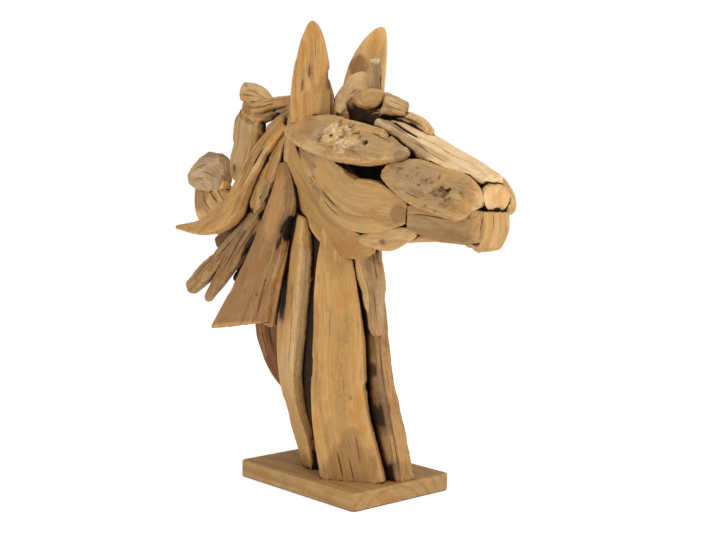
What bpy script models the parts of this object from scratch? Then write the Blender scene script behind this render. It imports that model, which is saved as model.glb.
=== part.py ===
"""Horse head built from pieces of driftwood teak on a plain rectangular board.

Every piece of wood is one closed solid in its own object: a loft along a short
centre line that lies on the piece's outer face. The horse looks along +X, its
right side is -Y, and the origin is the middle of the board's underside.
"""
import math
from collections import namedtuple

import bmesh
import bpy
import numpy as np
from mathutils import Vector

MM = 0.001

# Base board
BOARD_LENGTH = 260 * MM
BOARD_WIDTH = 180 * MM
BOARD_THICK = 25 * MM
BOARD_CORNER = 9 * MM       # radius of its corners in plan
BOARD_CORNER_STEPS = 3
BOARD_EDGE = 3 * MM         # how far its long edges are eased
BOARD_EDGE_STEPS = 2

# Every piece of driftwood
STEP = 42 * MM              # about this far from one section to the next
FEWEST_SECTIONS = 4
SIDES = 8                   # points round a section
NARROW_SIDES = 6            # points round a section of a narrow piece
NARROW = 36 * MM            # widest that a narrow piece gets
LEAST_WIDTH = 2 * MM
SLIMMING = 0.6              # how fast the depth follows the width: 0 not at all, 1 in step
EDGE = 3.0 * MM             # how far a sawn end is eased
MOST_TRIM = 0.3             # largest share of a section that easing an end takes off

# Clearances and clean-up after the pieces are cut to each other
GAP = 0.45 * MM             # clearance that a piece keeps to the pieces it meets
MOST_SHELL = 2.0            # sharp corners grow by at most this many gaps
MERGE = 0.02 * MM           # points closer than this become one
NEEDLE = 0.01 * MM          # faces thinner than this are dissolved
FLAT = math.radians(0.6)    # faces that turn less than this are joined

# Tones of the wood: linear red, green, blue and the roughness of the surface
TONES = {
    "golden": ((0.47, 0.29, 0.12), 0.62),
    "tan": ((0.43, 0.29, 0.14), 0.66),
    "cream": ((0.62, 0.45, 0.25), 0.60),
    "brown": ((0.29, 0.165, 0.08), 0.68),
    "grey": ((0.27, 0.20, 0.135), 0.74),
    "red": ((0.27, 0.12, 0.055), 0.66),
}

EAR_TIP = 657               # height of both ears, in millimetres
FOOT = 15                   # neck pieces run down to here and are cut off by the board

Shape = namedtuple("Shape", "line side out")
WOOD = []                   # the pieces in the order in which they cut their neighbours


def wood(name, tone, line, side, out, thick, crown=5, square=3.0, ends=(0, 0), slant=(0, 0)):
    """Note one piece of driftwood, in millimetres.

    line: (x, z, width) from root to tip, along the middle of the outer face
    side: y at the root and the tip, or at the root, the middle and the tip
    out: the way the face looks, or a pair of them for the root and the tip
    thick: depth behind the line, crown: rise in front of it
    square: 2 is a round section, 4 a square one
    ends: how far the root and the tip are rounded, 0 for a sawn end
    slant: how far one side of the root and of the tip runs ahead of the middle
    """
    outs = out if isinstance(out[0], tuple) else (out, out)
    WOOD.append(dict(name=name, tone=tone, line=line, side=side, outs=outs, thick=thick,
                     crown=crown, square=square, ends=ends, slant=slant))


def mirrored(shape, lift=0, spread=1.0, inset=0):
    """The same shape on the horse's left side, a little changed."""
    line = tuple((x, z + lift, width * spread) for x, z, width in shape.line)
    side = tuple(-y - inset for y in shape.side)
    return Shape(line, side, flipped(shape.out))


def flipped(out):
    """A facing direction, or a pair of them, for the horse's left side."""
    if isinstance(out[0], tuple):
        return tuple(flipped(each) for each in out)
    return (out[0], -out[1], out[2])


# --- the head -----------------------------------------------------------------

BROW = Shape(((-36, 513, 20), (-8, 508, 42), (50, 500, 61), (105, 490, 56), (150, 483, 42),
              (190, 475, 12)),
             (-72, -50), (0.15, -0.85, 0.5))
CHEEK = Shape(((-15, 485, 15), (40, 445, 60), (100, 410, 70), (145, 405, 65), (190, 400, 30)),
              (-65, -65, -50), (0.05, -1.0, -0.05))
STRAP = Shape(((-45, 530, 25), (-45, 470, 60), (-10, 420, 70), (35, 375, 70),
               (80, 355, 50), (110, 350, 25)),
              (-55, -55, -40), ((-0.35, -0.95, 0.05), (0.05, -0.9, -0.45)))
NOSTRIL = Shape(((150, 450, 10), (185, 445, 50), (240, 430, 60), (285, 420, 50),
                 (305, 415, 20)),
                (-60, -30), (0.25, -0.9, 0.3))
JAW = Shape(((190, 395, 30), (235, 390, 50), (305, 385, 40)),
            (-50, -35), ((0.05, -1.0, -0.1), (0.35, -0.95, -0.05)))
LENS = Shape(((95, 360, 10), (145, 365, 36), (200, 375, 12)), (-50, -44), (0.1, -0.9, -0.4))


def right_head():
    wood("right_brow_burl", "tan", *BROW, thick=24, crown=8, square=2.6, ends=(8, 8))
    wood("right_nostril_plate", "tan", *NOSTRIL, thick=20, crown=6, ends=(6, 6))
    wood("right_jaw_plank", "tan", *JAW, thick=20, crown=4, square=4)
    wood("right_cheek_board", "golden", *CHEEK, thick=22, crown=6, ends=(8, 0))
    wood("right_jaw_lens", "tan", *LENS, thick=18, crown=6, square=2.4, ends=(6, 6))
    wood("right_cheek_strap", "golden", *STRAP, thick=26, crown=5, ends=(0, 8))


def muzzle():
    wood("nose_bridge_plank", "cream",
         ((98, 518, 52), (185, 480, 70), (250, 454, 66), (300, 440, 34)),
         (0, -2), (0.35, -0.05, 0.95), thick=18, crown=11, square=2.8, ends=(0, 5))
    wood("nose_tip_block", "cream", ((301, 440, 36), (305, 425, 46), (303, 402, 42)),
         (-6, -5), (1.0, 0.0, 0.2), thick=34, crown=3, square=3.6)
    wood("chin_block", "golden", ((303, 404, 52), (303, 385, 52), (292, 353, 44)),
         (-8, -8), (1.0, 0.05, -0.1), thick=44, crown=4, square=4, ends=(0, 5))
    wood("chin_underside_board", "golden", ((150, 360, 56), (205, 366, 66), (268, 362, 56)),
         (-2, -4), (0.0, -0.05, -1.0), thick=14, crown=3, ends=(5, 0))


def left_head():
    wood("left_brow_board", "tan",
         ((-36, 516, 20), (-6, 514, 44), (38, 507, 60), (85, 490, 52), (130, 476, 40), (160, 470, 16)),
         (70, 50), flipped(BROW.out), thick=24, crown=6, square=3, ends=(8, 8))
    wood("left_nostril_plate", "cream", *mirrored(NOSTRIL, 0, 0.98, 4),
         thick=20, crown=5, ends=(6, 6))
    wood("left_jaw_plank", "tan", ((190, 396, 28), (240, 389, 42), (286, 386, 40)),
         (42, 26), flipped(JAW.out), thick=20, crown=3, square=4)
    wood("left_cheek_board", "golden", *mirrored(CHEEK, 2, 1.0, 3),
         thick=22, crown=5, ends=(8, 0))
    wood("left_jaw_lens", "tan", *mirrored(LENS, 12, 0.8, 10),
         thick=18, crown=4, square=2.4, ends=(6, 6))
    wood("left_cheek_strap", "golden",
         ((-41, 530, 24), (-44, 475, 55), (-8, 424, 66), (50, 380, 46), (88, 376, 24)),
         (52, 56, 40), flipped(STRAP.out), thick=26, crown=4, ends=(0, 8))


def ears():
    wood("right_ear", "golden",
         ((-5, 518, 56), (0, 565, 54), (8, 610, 43), (12, 638, 28), (15, EAR_TIP, 11)),
         (-54, -65), (0.7, -0.7, -0.15), thick=15, crown=4, square=2.8, ends=(0, 4))
    wood("left_ear", "golden",
         ((-10, 506, 54), (-13, 575, 60), (-5, 610, 50), (7, 640, 30), (14, EAR_TIP, 12)),
         (47, 65), (0.6, -0.75, -0.1), thick=15, crown=4, square=2.8, ends=(0, 4))
    wood("right_ear_wedge", "brown", ((2, 525, 26), (4, 550, 20), (5, 580, 8)),
         (-27, -33), (0.65, -0.75, 0.0), thick=14, crown=3, ends=(0, 3))


def forelock():
    wood("forelock_log", "golden", ((77, 550, 22), (88, 550, 28), (97, 548, 25)),
         (-42, -4), (0.8, -0.45, 0.35), thick=17, crown=9, square=2.2, ends=(10, 0))
    wood("forelock_stub", "tan", ((65, 545, 24), (65, 580, 20), (64, 606, 17)),
         (6, 6), (0.7, -0.7, 0.1), thick=16, crown=4, square=2.8)
    wood("forelock_root", "tan", ((7, 534, 18), (10, 553, 25), (33, 572, 32), (60, 566, 30)),
         (-19, 0, 16), (0.7, -0.65, 0.25), thick=18, crown=7, square=2.3, ends=(3, 6))
    wood("forelock_block", "brown", ((105, 543, 34), (127, 533, 20)),
         (-17, 8), (0.8, -0.5, 0.25), thick=22, crown=5, square=2.8, ends=(0, 4))
    wood("forelock_knob", "golden", ((104, 527, 14), (138, 519, 20), (167, 501, 11)),
         (4, 14, 16), (0.35, -0.55, 0.75), thick=14, crown=6, square=2.2, ends=(4, 7))


# --- the mane -----------------------------------------------------------------

def crest():
    wood("mane_fin", "golden", ((-130, 552, 10), (-175, 567, 30), (-218, 573, 33)),
         (-28, -21), (-0.1, -1.0, 0.1), thick=18, crown=5, square=2.4, ends=(4, 10))
    wood("mane_branch", "golden", ((-50, 551, 22), (-110, 546, 27), (-165, 541, 32), (-208, 546, 20)),
         (-40, -24), (-0.15, -0.95, 0.2), thick=24, crown=6, square=2.3, ends=(0, 8))
    wood("mane_horn", "golden",
         ((-62, 522, 24), (-107, 484, 33), (-138, 440, 38), (-166, 397, 45), (-225, 368, 27),
          (-298, 363, 5)),
         (-54, -73, -90), (-0.05, -0.95, 0.25), thick=22, crown=7, square=2.4, ends=(0, 4))
    wood("mane_long_strip", "golden",
         ((-66, 514, 24), (-90, 470, 46), (-103, 430, 49), (-126, 391, 16)),
         (-52, -69), (-0.1, -1.0, 0.15), thick=20, crown=4, ends=(0, 6))
    wood("mane_short_strip", "tan", ((-52, 540, 24), (-84, 522, 28), (-118, 505, 26)),
         (-40, -44), (-0.15, -0.95, 0.2), thick=16, crown=4, square=2.4, ends=(0, 5))
    wood("mane_shoulder_slab", "golden",
         ((-181, 547, 66), (-190, 520, 82), (-195, 485, 71), (-206, 455, 54), (-200, 438, 16)),
         (-28, -37), (-0.15, -1.0, 0.1), thick=24, crown=6, square=2.8, ends=(0, 6))


def tresses():
    wood("mane_fist_cap", "grey",
         ((-338, 438, 16), (-317, 441, 42), (-292, 447, 58), (-272, 448, 66), (-256, 443, 50),
          (-243, 437, 28)),
         (-38, -37), (-0.1, -1.0, 0.05), thick=30, crown=10, square=2.4, ends=(3, 4))
    wood("mane_fist_stem", "golden",
         ((-287, 434, 88), (-284, 410, 90), (-262, 388, 74), (-205, 385, 52), (-130, 408, 40)),
         (-33, -34, -22), (-0.1, -1.0, 0.2), thick=24, crown=4, square=2.5)
    wood("mane_edge_sliver", "brown", ((-47, 356, 8), (-59, 305, 13), (-72, 229, 14)),
         (-62, -79), (0.5, -0.85, 0.0), thick=16, crown=2, square=4)
    wood("mane_broad_board", "brown",
         ((-60, 464, 18), (-52, 415, 50), (-74, 348, 60), (-100, 290, 74), (-129, 226, 106)),
         (-60, -91), (0.1, -1.0, 0.1), thick=14, crown=3, square=4.5, slant=(0, 34))
    wood("mane_long_twig", "brown", ((-130, 395, 24), (-205, 330, 24), (-268, 282, 27), (-293, 265, 22)),
         (-54, -66, -72), (0.05, -1.0, 0.05), thick=18, crown=6, square=2.4, ends=(0, 9))
    wood("mane_fork_twig", "brown", ((-118, 400, 40), (-150, 363, 43), (-205, 300, 26), (-254, 251, 11)),
         (-48, -60, -64), (0.0, -1.0, 0.05), thick=18, crown=5, square=2.4, ends=(0, 4))
    wood("mane_shadow_stick", "red", ((-128, 392, 22), (-162, 338, 20), (-200, 282, 16)),
         (-40, -46), (0.0, -1.0, 0.05), thick=14, crown=4, square=2.2, ends=(0, 5))
    wood("mane_under_chip", "brown", ((-170, 372, 30), (-216, 353, 28), (-244, 339, 16)),
         (-46, -51), (0.0, -1.0, 0.05), thick=14, crown=4, ends=(0, 5))


def left_mane():
    wood("left_mane_board", "brown", ((-48, 462, 30), (-62, 400, 64), (-90, 320, 78), (-122, 232, 80)),
         (60, 82), (0.0, 1.0, 0.1), thick=18, crown=3, square=4)
    wood("left_mane_horn", "golden",
         ((-60, 522, 26), (-104, 482, 40), (-132, 438, 44), (-172, 402, 34), (-214, 384, 14)),
         (52, 76), (-0.1, 0.95, 0.25), thick=24, crown=6, square=2.4, ends=(0, 4))
    wood("left_mane_strip", "tan", ((-56, 500, 28), (-84, 450, 44), (-104, 400, 38), (-136, 356, 16)),
         (56, 64), (-0.1, 1.0, 0.15), thick=20, crown=4, ends=(0, 6))
    wood("left_mane_twig", "brown", ((-112, 386, 34), (-150, 344, 34), (-214, 272, 14)),
         (50, 62), (0.0, 1.0, 0.05), thick=18, crown=5, square=2.4, ends=(0, 6))
    wood("left_mane_slab", "golden", ((-90, 545, 40), (-130, 520, 60), (-160, 480, 62), (-172, 440, 40)),
         (28, 26), (-0.15, 0.95, 0.15), thick=22, crown=5, square=2.8, ends=(0, 6))


# --- the neck -----------------------------------------------------------------

def neck():
    wood("right_neck_stave", "golden",
         ((37, 384, 30), (40, 300, 60), (44, 225, 71), (44, 127, 80), (75, FOOT, 91)),
         (-46, -43), ((0.6, -0.8, 0.0), (0.5, -0.85, 0.2)), thick=34, crown=7, square=2.8)
    wood("right_neck_rear_stave", "golden",
         ((-28, 391, 30), (-45, 335, 60), (-59, 243, 61), (-67, 165, 50), (-50, 95, 35), (-37, 66, 36),
          (-20, FOOT, 21)),
         (-55, -43), ((-0.2, -1.0, 0.0), (-0.2, -0.95, -0.1)), thick=30, crown=6, square=2.8,
         ends=(0, 6))
    wood("throat_wedge", "tan", ((65, 366, 42), (75, 300, 40), (81, 222, 16)),
         (-12, 0), ((0.95, -0.2, 0.1), (0.95, 0.2, 0.15)), thick=26, crown=3, square=3, ends=(0, 5))
    wood("front_neck_stave", "grey",
         ((71, 272, 22), (83, 170, 28), (106, 80, 31), (120, FOOT, 34)),
         (6, 14), ((1.0, 0.1, 0.1), (0.95, 0.0, 0.2)), thick=34, crown=3, square=3.4)
    wood("right_neck_inner_slat", "brown", ((-6, 372, 30), (-22, 210, 36), (-25, FOOT, 35)),
         (-38, -36), (0.0, -1.0, 0.0), thick=26, crown=3, square=3)
    wood("nape_slab", "red",
         ((-116, 340, 62), (-142, 262, 66), (-146, 200, 59), (-124, 153, 38), (-106, 130, 14)),
         (-22, -22), (-0.05, -1.0, 0.0), thick=34, crown=5, square=2.8, ends=(0, 6))
    wood("left_neck_stave", "golden",
         ((14, 384, 34), (16, 300, 56), (20, 190, 70), (34, 115, 78), (56, FOOT, 78)),
         (48, 43), ((0.3, 0.95, 0.0), (0.3, 0.95, 0.15)), thick=34, crown=4, square=2.8)
    wood("left_neck_rear_stave", "tan",
         ((-16, 392, 40), (-34, 320, 78), (-50, 240, 86), (-53, 150, 74), (-38, FOOT, 56)),
         (55, 43), ((-0.2, 1.0, 0.0), (-0.25, 0.95, 0.0)), thick=32, crown=5, square=2.8)
    wood("nape_stave", "tan",
         ((-70, 470, 70), (-84, 400, 80), (-93, 280, 76), (-84, 160, 63), (-58, FOOT, 46)),
         (2, 2), ((-1.0, 0.0, 0.1), (-1.0, 0.0, -0.2)), thick=40, crown=5, square=2.8)
    wood("poll_block", "tan", ((-44, 534, 42), (-50, 538, 50), (-44, 534, 42)),
         (-34, 36), (-0.5, 0.0, 0.85), thick=30, crown=5, square=2.8)


# --- building -----------------------------------------------------------------

def guide_points(line, side):
    """(x, y, z, width) of a line, with y on the simplest curve through its side values."""
    x, z, width = np.array(line, dtype=float).T
    values = np.linspace(0.0, 1.0, len(side))
    along = np.linspace(0.0, 1.0, len(line))
    y = np.polyval(np.polyfit(values, side, len(side) - 1), along)
    return np.column_stack((x, y, z, width)) * MM


def spread_line(knots, count):
    """Points and widths along a smooth curve through the knots, root to tip."""
    steps = np.linalg.norm(np.diff(knots[:, :3], axis=0), axis=1)
    places = np.concatenate(([0.0], np.cumsum(steps)))
    slopes = np.gradient(knots, places, axis=0)
    at = np.linspace(0.0, places[-1], count)
    spans = np.clip(np.searchsorted(places, at, side="right") - 1, 0, len(steps) - 1)
    points = np.empty((count, 4))
    for row, (place, span) in enumerate(zip(at, spans)):
        length = steps[span]
        t = (place - places[span]) / length
        start, end = knots[span], knots[span + 1]
        lead, tail = slopes[span] * length, slopes[span + 1] * length
        points[row] = ((2 * t**3 - 3 * t**2 + 1) * start + (t**3 - 2 * t**2 + t) * lead
                       + (3 * t**2 - 2 * t**3) * end + (t**3 - t**2) * tail)
    return points


def sections(piece):
    """The rings of points of one piece of wood, root to tip."""
    line = guide_points(piece["line"], piece["side"])
    length = np.linalg.norm(np.diff(line[:, :3], axis=0), axis=1).sum()
    count = max(FEWEST_SECTIONS, round(length / STEP) + 2)
    points = spread_line(line, count)
    centres = points[:, :3]
    widths = np.maximum(points[:, 3], LEAST_WIDTH)
    tangents = np.gradient(centres, axis=0)
    tangents /= np.linalg.norm(tangents, axis=1)[:, None]
    ends = [max(end * MM, EDGE) for end in piece["ends"]]
    places = np.linspace(0.0, length, count)
    rows = [(0.0, 0)] + [(places[i], i) for i in range(count)] + [(length, count - 1)]
    rings = []
    fullest = widths.max()
    corners = SIDES if fullest > NARROW else NARROW_SIDES
    for order, (place, i) in enumerate(rows):
        face = Vector(piece["outs"][0]).lerp(Vector(piece["outs"][1]), place / length)
        tangent = Vector(tangents[i])
        across = tangent.cross(face).normalized()
        outward = across.cross(tangent).normalized()
        centre = Vector(centres[i])
        slim = (widths[i] / fullest) ** SLIMMING
        trim = 0.0
        if order == 0:
            trim = ends[0]
        elif order == 1:
            centre = centre + tangent * ends[0]
        elif order == len(rows) - 2:
            centre = centre - tangent * ends[1]
        elif order == len(rows) - 1:
            trim = ends[1]
        half = 0.5 * widths[i]
        rise = piece["crown"] * MM * slim
        depth = piece["thick"] * MM * slim
        trim = min(trim, MOST_TRIM * half, MOST_TRIM * (rise + depth))
        half -= trim
        centre = centre - outward * trim
        depth -= 2.0 * trim
        along = place / length
        skew = (piece["slant"][1] * along**2 - piece["slant"][0] * (1.0 - along)**2) * MM
        ring = []
        for corner in range(corners):
            turn = 2.0 * math.pi * corner / corners
            side, up = math.cos(turn), math.sin(turn)
            side = math.copysign(abs(side) ** (2.0 / piece["square"]), side)
            up = math.copysign(abs(up) ** (2.0 / piece["square"]), up)
            height = rise if up > 0 else depth
            ring.append(centre + across * side * half + outward * up * height + tangent * side * skew)
        rings.append(ring)
    return rings


def loft(name, rings):
    """A closed mesh through the rings, capped at both ends."""
    bm = bmesh.new()
    rows = [[bm.verts.new(point) for point in ring] for ring in rings]
    for low, high in zip(rows, rows[1:]):
        for a in range(len(low)):
            b = (a + 1) % len(low)
            bm.faces.new((low[a], low[b], high[b], high[a]))
    bm.faces.new(rows[0])
    bm.faces.new(rows[-1])
    bmesh.ops.triangulate(bm, faces=bm.faces[:])
    bmesh.ops.recalc_face_normals(bm, faces=bm.faces[:])
    mesh = bpy.data.meshes.new(name)
    bm.to_mesh(mesh)
    bm.free()
    return mesh


def board_mesh(name):
    """The base board: a slab with round plan corners and eased edges."""
    bm = bmesh.new()
    bmesh.ops.create_cube(bm, size=1.0)
    bmesh.ops.scale(bm, vec=(BOARD_LENGTH, BOARD_WIDTH, BOARD_THICK), verts=bm.verts[:])
    bmesh.ops.translate(bm, vec=(0, 0, BOARD_THICK / 2), verts=bm.verts[:])
    upright = [e for e in bm.edges if abs(e.verts[0].co.z - e.verts[1].co.z) > BOARD_THICK / 2]
    bmesh.ops.bevel(bm, geom=upright, offset=BOARD_CORNER,
                     segments=BOARD_CORNER_STEPS, profile=0.5, affect="EDGES")
    rims = [e for e in bm.edges if abs(e.verts[0].co.z - e.verts[1].co.z) < BOARD_THICK / 2]
    bmesh.ops.bevel(bm, geom=rims, offset=BOARD_EDGE,
                     segments=BOARD_EDGE_STEPS, profile=0.5, affect="EDGES")
    mesh = bpy.data.meshes.new(name)
    bm.to_mesh(mesh)
    bm.free()
    return mesh


def wood_material(name, tone):
    """A piece's own Principled material, in one of the tones of the wood."""
    colour, roughness = TONES[tone]
    material = bpy.data.materials.new(name + "_wood")
    material.use_nodes = True
    shader = material.node_tree.nodes["Principled BSDF"]
    shader.inputs["Base Color"].default_value = (*colour, 1.0)
    shader.inputs["Roughness"].default_value = roughness
    shader.inputs["Metallic"].default_value = 0.0
    material.diffuse_color = (*colour, 1.0)
    return material


def grown_cutter(source, collection):
    """A copy of a piece that is larger all round by the gap, to cut its neighbours."""
    mesh = source.data.copy()
    bm = bmesh.new()
    bm.from_mesh(mesh)
    bm.normal_update()
    moves = [v.normal * min(v.calc_shell_factor(), MOST_SHELL) * GAP for v in bm.verts]
    for vert, move in zip(bm.verts, moves):
        vert.co += move
    bm.to_mesh(mesh)
    bm.free()
    cutter = bpy.data.objects.new("cutter_" + source.name, mesh)
    cutter.hide_render = True
    cutter.display_type = "WIRE"
    collection.objects.link(cutter)
    return cutter


def box_of(mesh):
    """Lowest and highest corners of a mesh."""
    points = np.array([v.co[:] for v in mesh.vertices])
    return points.min(axis=0), points.max(axis=0)


def keep_largest(mesh):
    """Drop the loose scraps that cutting leaves, and merge needle faces."""
    bm = bmesh.new()
    bm.from_mesh(mesh)
    bmesh.ops.remove_doubles(bm, verts=bm.verts[:], dist=MERGE)
    bmesh.ops.dissolve_degenerate(bm, dist=NEEDLE, edges=bm.edges[:])
    bmesh.ops.dissolve_limit(bm, angle_limit=FLAT, verts=bm.verts[:], edges=bm.edges[:])
    bmesh.ops.triangulate(bm, faces=bm.faces[:])
    left = set(bm.verts)
    islands = []
    while left:
        front = [left.pop()]
        island = set(front)
        while front:
            vert = front.pop()
            for edge in vert.link_edges:
                other = edge.other_vert(vert)
                if other in left:
                    left.discard(other)
                    island.add(other)
                    front.append(other)
        islands.append(island)
    islands.sort(key=len)
    for island in islands[:-1]:
        bmesh.ops.delete(bm, geom=list(island), context="VERTS")
    bm.to_mesh(mesh)
    bm.free()


def cut_by_neighbours(target, cutters):
    """Take the space of the earlier pieces out of this one."""
    low, high = box_of(target.data)
    for cutter in cutters:
        cut_low, cut_high = box_of(cutter.data)
        if (cut_low > high).any() or (cut_high < low).any():
            continue
        cut = target.modifiers.new("clear_" + cutter.name, "BOOLEAN")
        cut.operation = "DIFFERENCE"
        cut.solver = "EXACT"
        cut.object = cutter
    if not target.modifiers:
        return
    graph = bpy.context.evaluated_depsgraph_get()
    mesh = bpy.data.meshes.new_from_object(target.evaluated_get(graph))
    target.modifiers.clear()
    plain = target.data
    target.data = mesh
    bpy.data.meshes.remove(plain)
    mesh.name = target.name
    keep_largest(mesh)


def main():
    for item in list(bpy.data.objects):
        bpy.data.objects.remove(item, do_unlink=True)
    statue = bpy.data.collections.new("driftwood_horse_head")
    cutting = bpy.data.collections.new("cutters")
    bpy.context.scene.collection.children.link(statue)
    bpy.context.scene.collection.children.link(cutting)

    board = bpy.data.objects.new("base_board", board_mesh("base_board"))
    board.data.materials.append(wood_material("base_board", "golden"))
    statue.objects.link(board)
    cutters = [grown_cutter(board, cutting)]

    right_head()
    muzzle()
    ears()
    forelock()
    crest()
    tresses()
    neck()
    left_head()
    left_mane()
    for piece in WOOD:
        item = bpy.data.objects.new(piece["name"], loft(piece["name"], sections(piece)))
        statue.objects.link(item)
        grown = grown_cutter(item, cutting)
        cut_by_neighbours(item, cutters)
        item.data.materials.clear()
        item.data.materials.append(wood_material(piece["name"], piece["tone"]))
        cutters.append(grown)
    for cutter in cutters:
        bpy.data.objects.remove(cutter, do_unlink=True)


main()
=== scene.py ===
"""Horse head built from pieces of driftwood teak: the finished wood and the studio.

Every piece of wood is made again as a fine mesh round the same line as its plain solid,
with worn relief, cracks, knots and broken ends, and gets a material whose grain follows
the piece. A piece's own coordinates are across, along and depth, in millimetres.
"""
import math
import random
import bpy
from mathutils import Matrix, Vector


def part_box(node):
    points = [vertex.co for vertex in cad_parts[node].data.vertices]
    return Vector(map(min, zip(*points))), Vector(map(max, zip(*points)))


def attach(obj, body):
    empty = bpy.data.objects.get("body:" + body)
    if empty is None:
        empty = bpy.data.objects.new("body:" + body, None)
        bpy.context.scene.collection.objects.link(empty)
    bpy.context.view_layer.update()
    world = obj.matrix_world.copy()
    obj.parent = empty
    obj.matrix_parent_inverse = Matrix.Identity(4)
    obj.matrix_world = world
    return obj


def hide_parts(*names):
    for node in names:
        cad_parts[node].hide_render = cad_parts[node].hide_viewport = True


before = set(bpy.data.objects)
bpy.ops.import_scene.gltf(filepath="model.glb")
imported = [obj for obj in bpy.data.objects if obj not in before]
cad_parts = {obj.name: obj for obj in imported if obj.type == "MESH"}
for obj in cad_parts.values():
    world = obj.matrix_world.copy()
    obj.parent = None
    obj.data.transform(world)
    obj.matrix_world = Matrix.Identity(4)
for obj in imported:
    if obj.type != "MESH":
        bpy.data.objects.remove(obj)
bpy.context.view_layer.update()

import zlib
from collections import namedtuple
from dataclasses import dataclass

import bmesh
import bpy
import numpy as np
from mathutils import Vector
from mathutils.bvhtree import BVHTree

bl_info = {
    "name": "Driftwood Horse Head",
    "version": (1, 0, 0),
    "blender": (4, 5, 0),
    "location": "View3D > Sidebar > Driftwood",
    "description": "Builds a horse head from worn pieces of driftwood on a base board",
    "category": "Add Mesh",
}

MM = 0.001

# The make of every piece, in millimetres, as its plain solid has it
LEAST_WIDTH = 2.0
SLIMMING = 0.6              # how fast the depth follows the width
EDGE = 3.0                  # how far a sawn end is eased
EAR_TIP = 657               # height of both ears
FOOT = 15                   # neck pieces run down to here, inside the board

# How finely the wood is meshed, in millimetres
ALONG_STEP = 2.3
FRONT_STEP = 1.6
BACK_STEP = 5.5
CAP_STEP = 3.0
BACK_HEIGHT = -0.55         # below this height a section counts as its back
SECTION_SAMPLES = 1441      # points that a section's girth is measured with
LEAST_COLUMNS = 14
LEAST_ROWS = 8
LEAST_CAPS = 3
END_ROWS = (0.03, 0.12, 0.28, 0.5, 0.75)        # further rows over an eased end
CRACK_LINES = (-1.7, -0.6, 0.0, 0.6, 1.7)       # lines along a crack, in crack widths

# How the wood is worn
CRISPNESS = 2.3             # how much squarer a worn piece is than its plain solid
HOLE_DEPTH = 2.5            # how deep rotten wood is sunk, in millimetres
DARK_HOLLOW = 2.5           # and a hollow this deep is painted darkest, as shade and dirt
THIN_WOOD = 16.0            # wood narrower than this is worn less
BROKEN_REACH = 14.0         # how far in from an end the break is felt
END_THINNING = 0.7          # how much of the rounding of an end thins its front
END_NARROWING = 0.8         # rounding takes at most this share of half the width
END_THICKNESS = 0.42        # and at most this share of the thickness
FRONT_LIMIT = 0.97          # the front ends this far out, as a share of half the width
FRONT_FADE = 0.08           # and fades over this much
CRACK_LIMIT = 0.93          # cracks keep off the edges
CRACK_LIPS = 1.5            # how many widths a crack's lips reach
CRACK_BEND = 26.0           # length of a bend in a crack, in millimetres
CRACK_STRAY = 0.055         # how far a crack strays, as a share of half the width
CRACK_PULL = 0.22           # how far the lines beside a crack follow it
KNOT_STRETCH = 0.75         # a knot is longer along the grain than across
PITH_DEPTH = 2.2            # how far behind a piece the tree's heart was, in thicknesses

# Painted shade and dirt
SHADE_RAYS = 16
RAY_TURN = math.pi * (3.0 - math.sqrt(5.0))     # from one ray to the next, which spreads them evenly
SHADE_LIFT = 3.5             # looks for other wood from this far above the surface
SHELTER_REACH = 170.0       # wood nearer than this keeps the light away, in millimetres
CLOSE_SHADE_REACH = 20.0           # and nearer than this it adds painted shade and dirt
UNSHADED_SHELTER = 0.45        # so much shelter still gets no painted shade
CLOSE_SHADE = 0.9            # how much painted shade and dirt close wood adds
SHADE_BLUR = (0.34, 0.33, 0.165)     # a point's own share, that of its row and of each next row
SHADE_BLURS = 2
SEAM = 0.011                # painted shade and dirt fill joints about this wide, in metres
SEAM_SAMPLES = 8

# Colour of the wood, as shares of red, green and blue
PALEST = 0.88               # no wood throws more light back than this
SUNLIT = 1.18               # how much lighter than its base the lightest fibre is
DEEP = (0.55, 0.43, 0.30)
WARM = (1.03, 0.85, 0.60)
DULL = (0.82, 0.84, 0.88)
# brown glaze of painted shade and grime on sheltered wood
GRIME_AND_SHADE = (0.58, 0.42, 0.27)
BUMP_DEPTH = 0.0013         # in metres

# Camera and room
CAMERA_AIM = Vector((0.010, 0.021, 0.310))
CAMERA_DISTANCE = 1.8
CAMERA_AZIMUTH = math.radians(49.383)
CAMERA_ELEVATION = math.radians(5.018)
CAMERA_LENS = 63.0
FLOOR_REACH = 12.0
FLOOR_GLOW = 0.56           # keeps the floor as white as the room

# The run of a piece and the way it looks, which its match on the left side can share
Shape = namedtuple("Shape", "line side out")
# Where each point of a piece lies on it, with half the width and the length of the piece
Skin = namedtuple("Skin", "across along depth half length")


# --- sizes and colours that can be changed --------------------------------------

def colour(name, words, default):
    """A colour that the user can change."""
    return bpy.props.FloatVectorProperty(name=name, description=words, default=default,
                                         size=3, min=0.0, max=1.0, subtype="COLOR")


def amount(name, words, default, most, **kind):
    """A number from zero up that the user can change."""
    return bpy.props.FloatProperty(name=name, description=words, default=default, min=0.0,
                                   max=most, **kind)


class DriftwoodColours(bpy.types.PropertyGroup):
    """Tones of the wood, of what has stained it, and of its painted shade."""
    golden: colour("Golden", "Sound teak, oiled by the sea", (0.53, 0.300, 0.100))
    tan: colour("Tan", "Duller teak", (0.49, 0.293, 0.114))
    cream: colour("Cream", "Pale sapwood", (0.74, 0.49, 0.235))
    brown: colour("Brown", "Dark teak", (0.34, 0.180, 0.064))
    grey: colour("Grey", "Weathered teak", (0.41, 0.275, 0.155))
    red: colour("Red", "Rotted heartwood", (0.25, 0.106, 0.030))
    orange: colour("Orange", "Fresh heartwood where the grey skin is gone", (0.60, 0.320, 0.105))
    stain: colour("Stain", "Brown stain in the wood", (0.17, 0.078, 0.030))
    crust: colour("Crust", "Dried crust on the palest spots", (0.85, 0.68, 0.45))
    # painted shade: cracks, hollows, joints and sheltered wood are mixed towards this colour, with some dirt
    shadow: colour("Shadow", "Dirt deep in cracks and between the pieces", (0.012, 0.006, 0.002))


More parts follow.
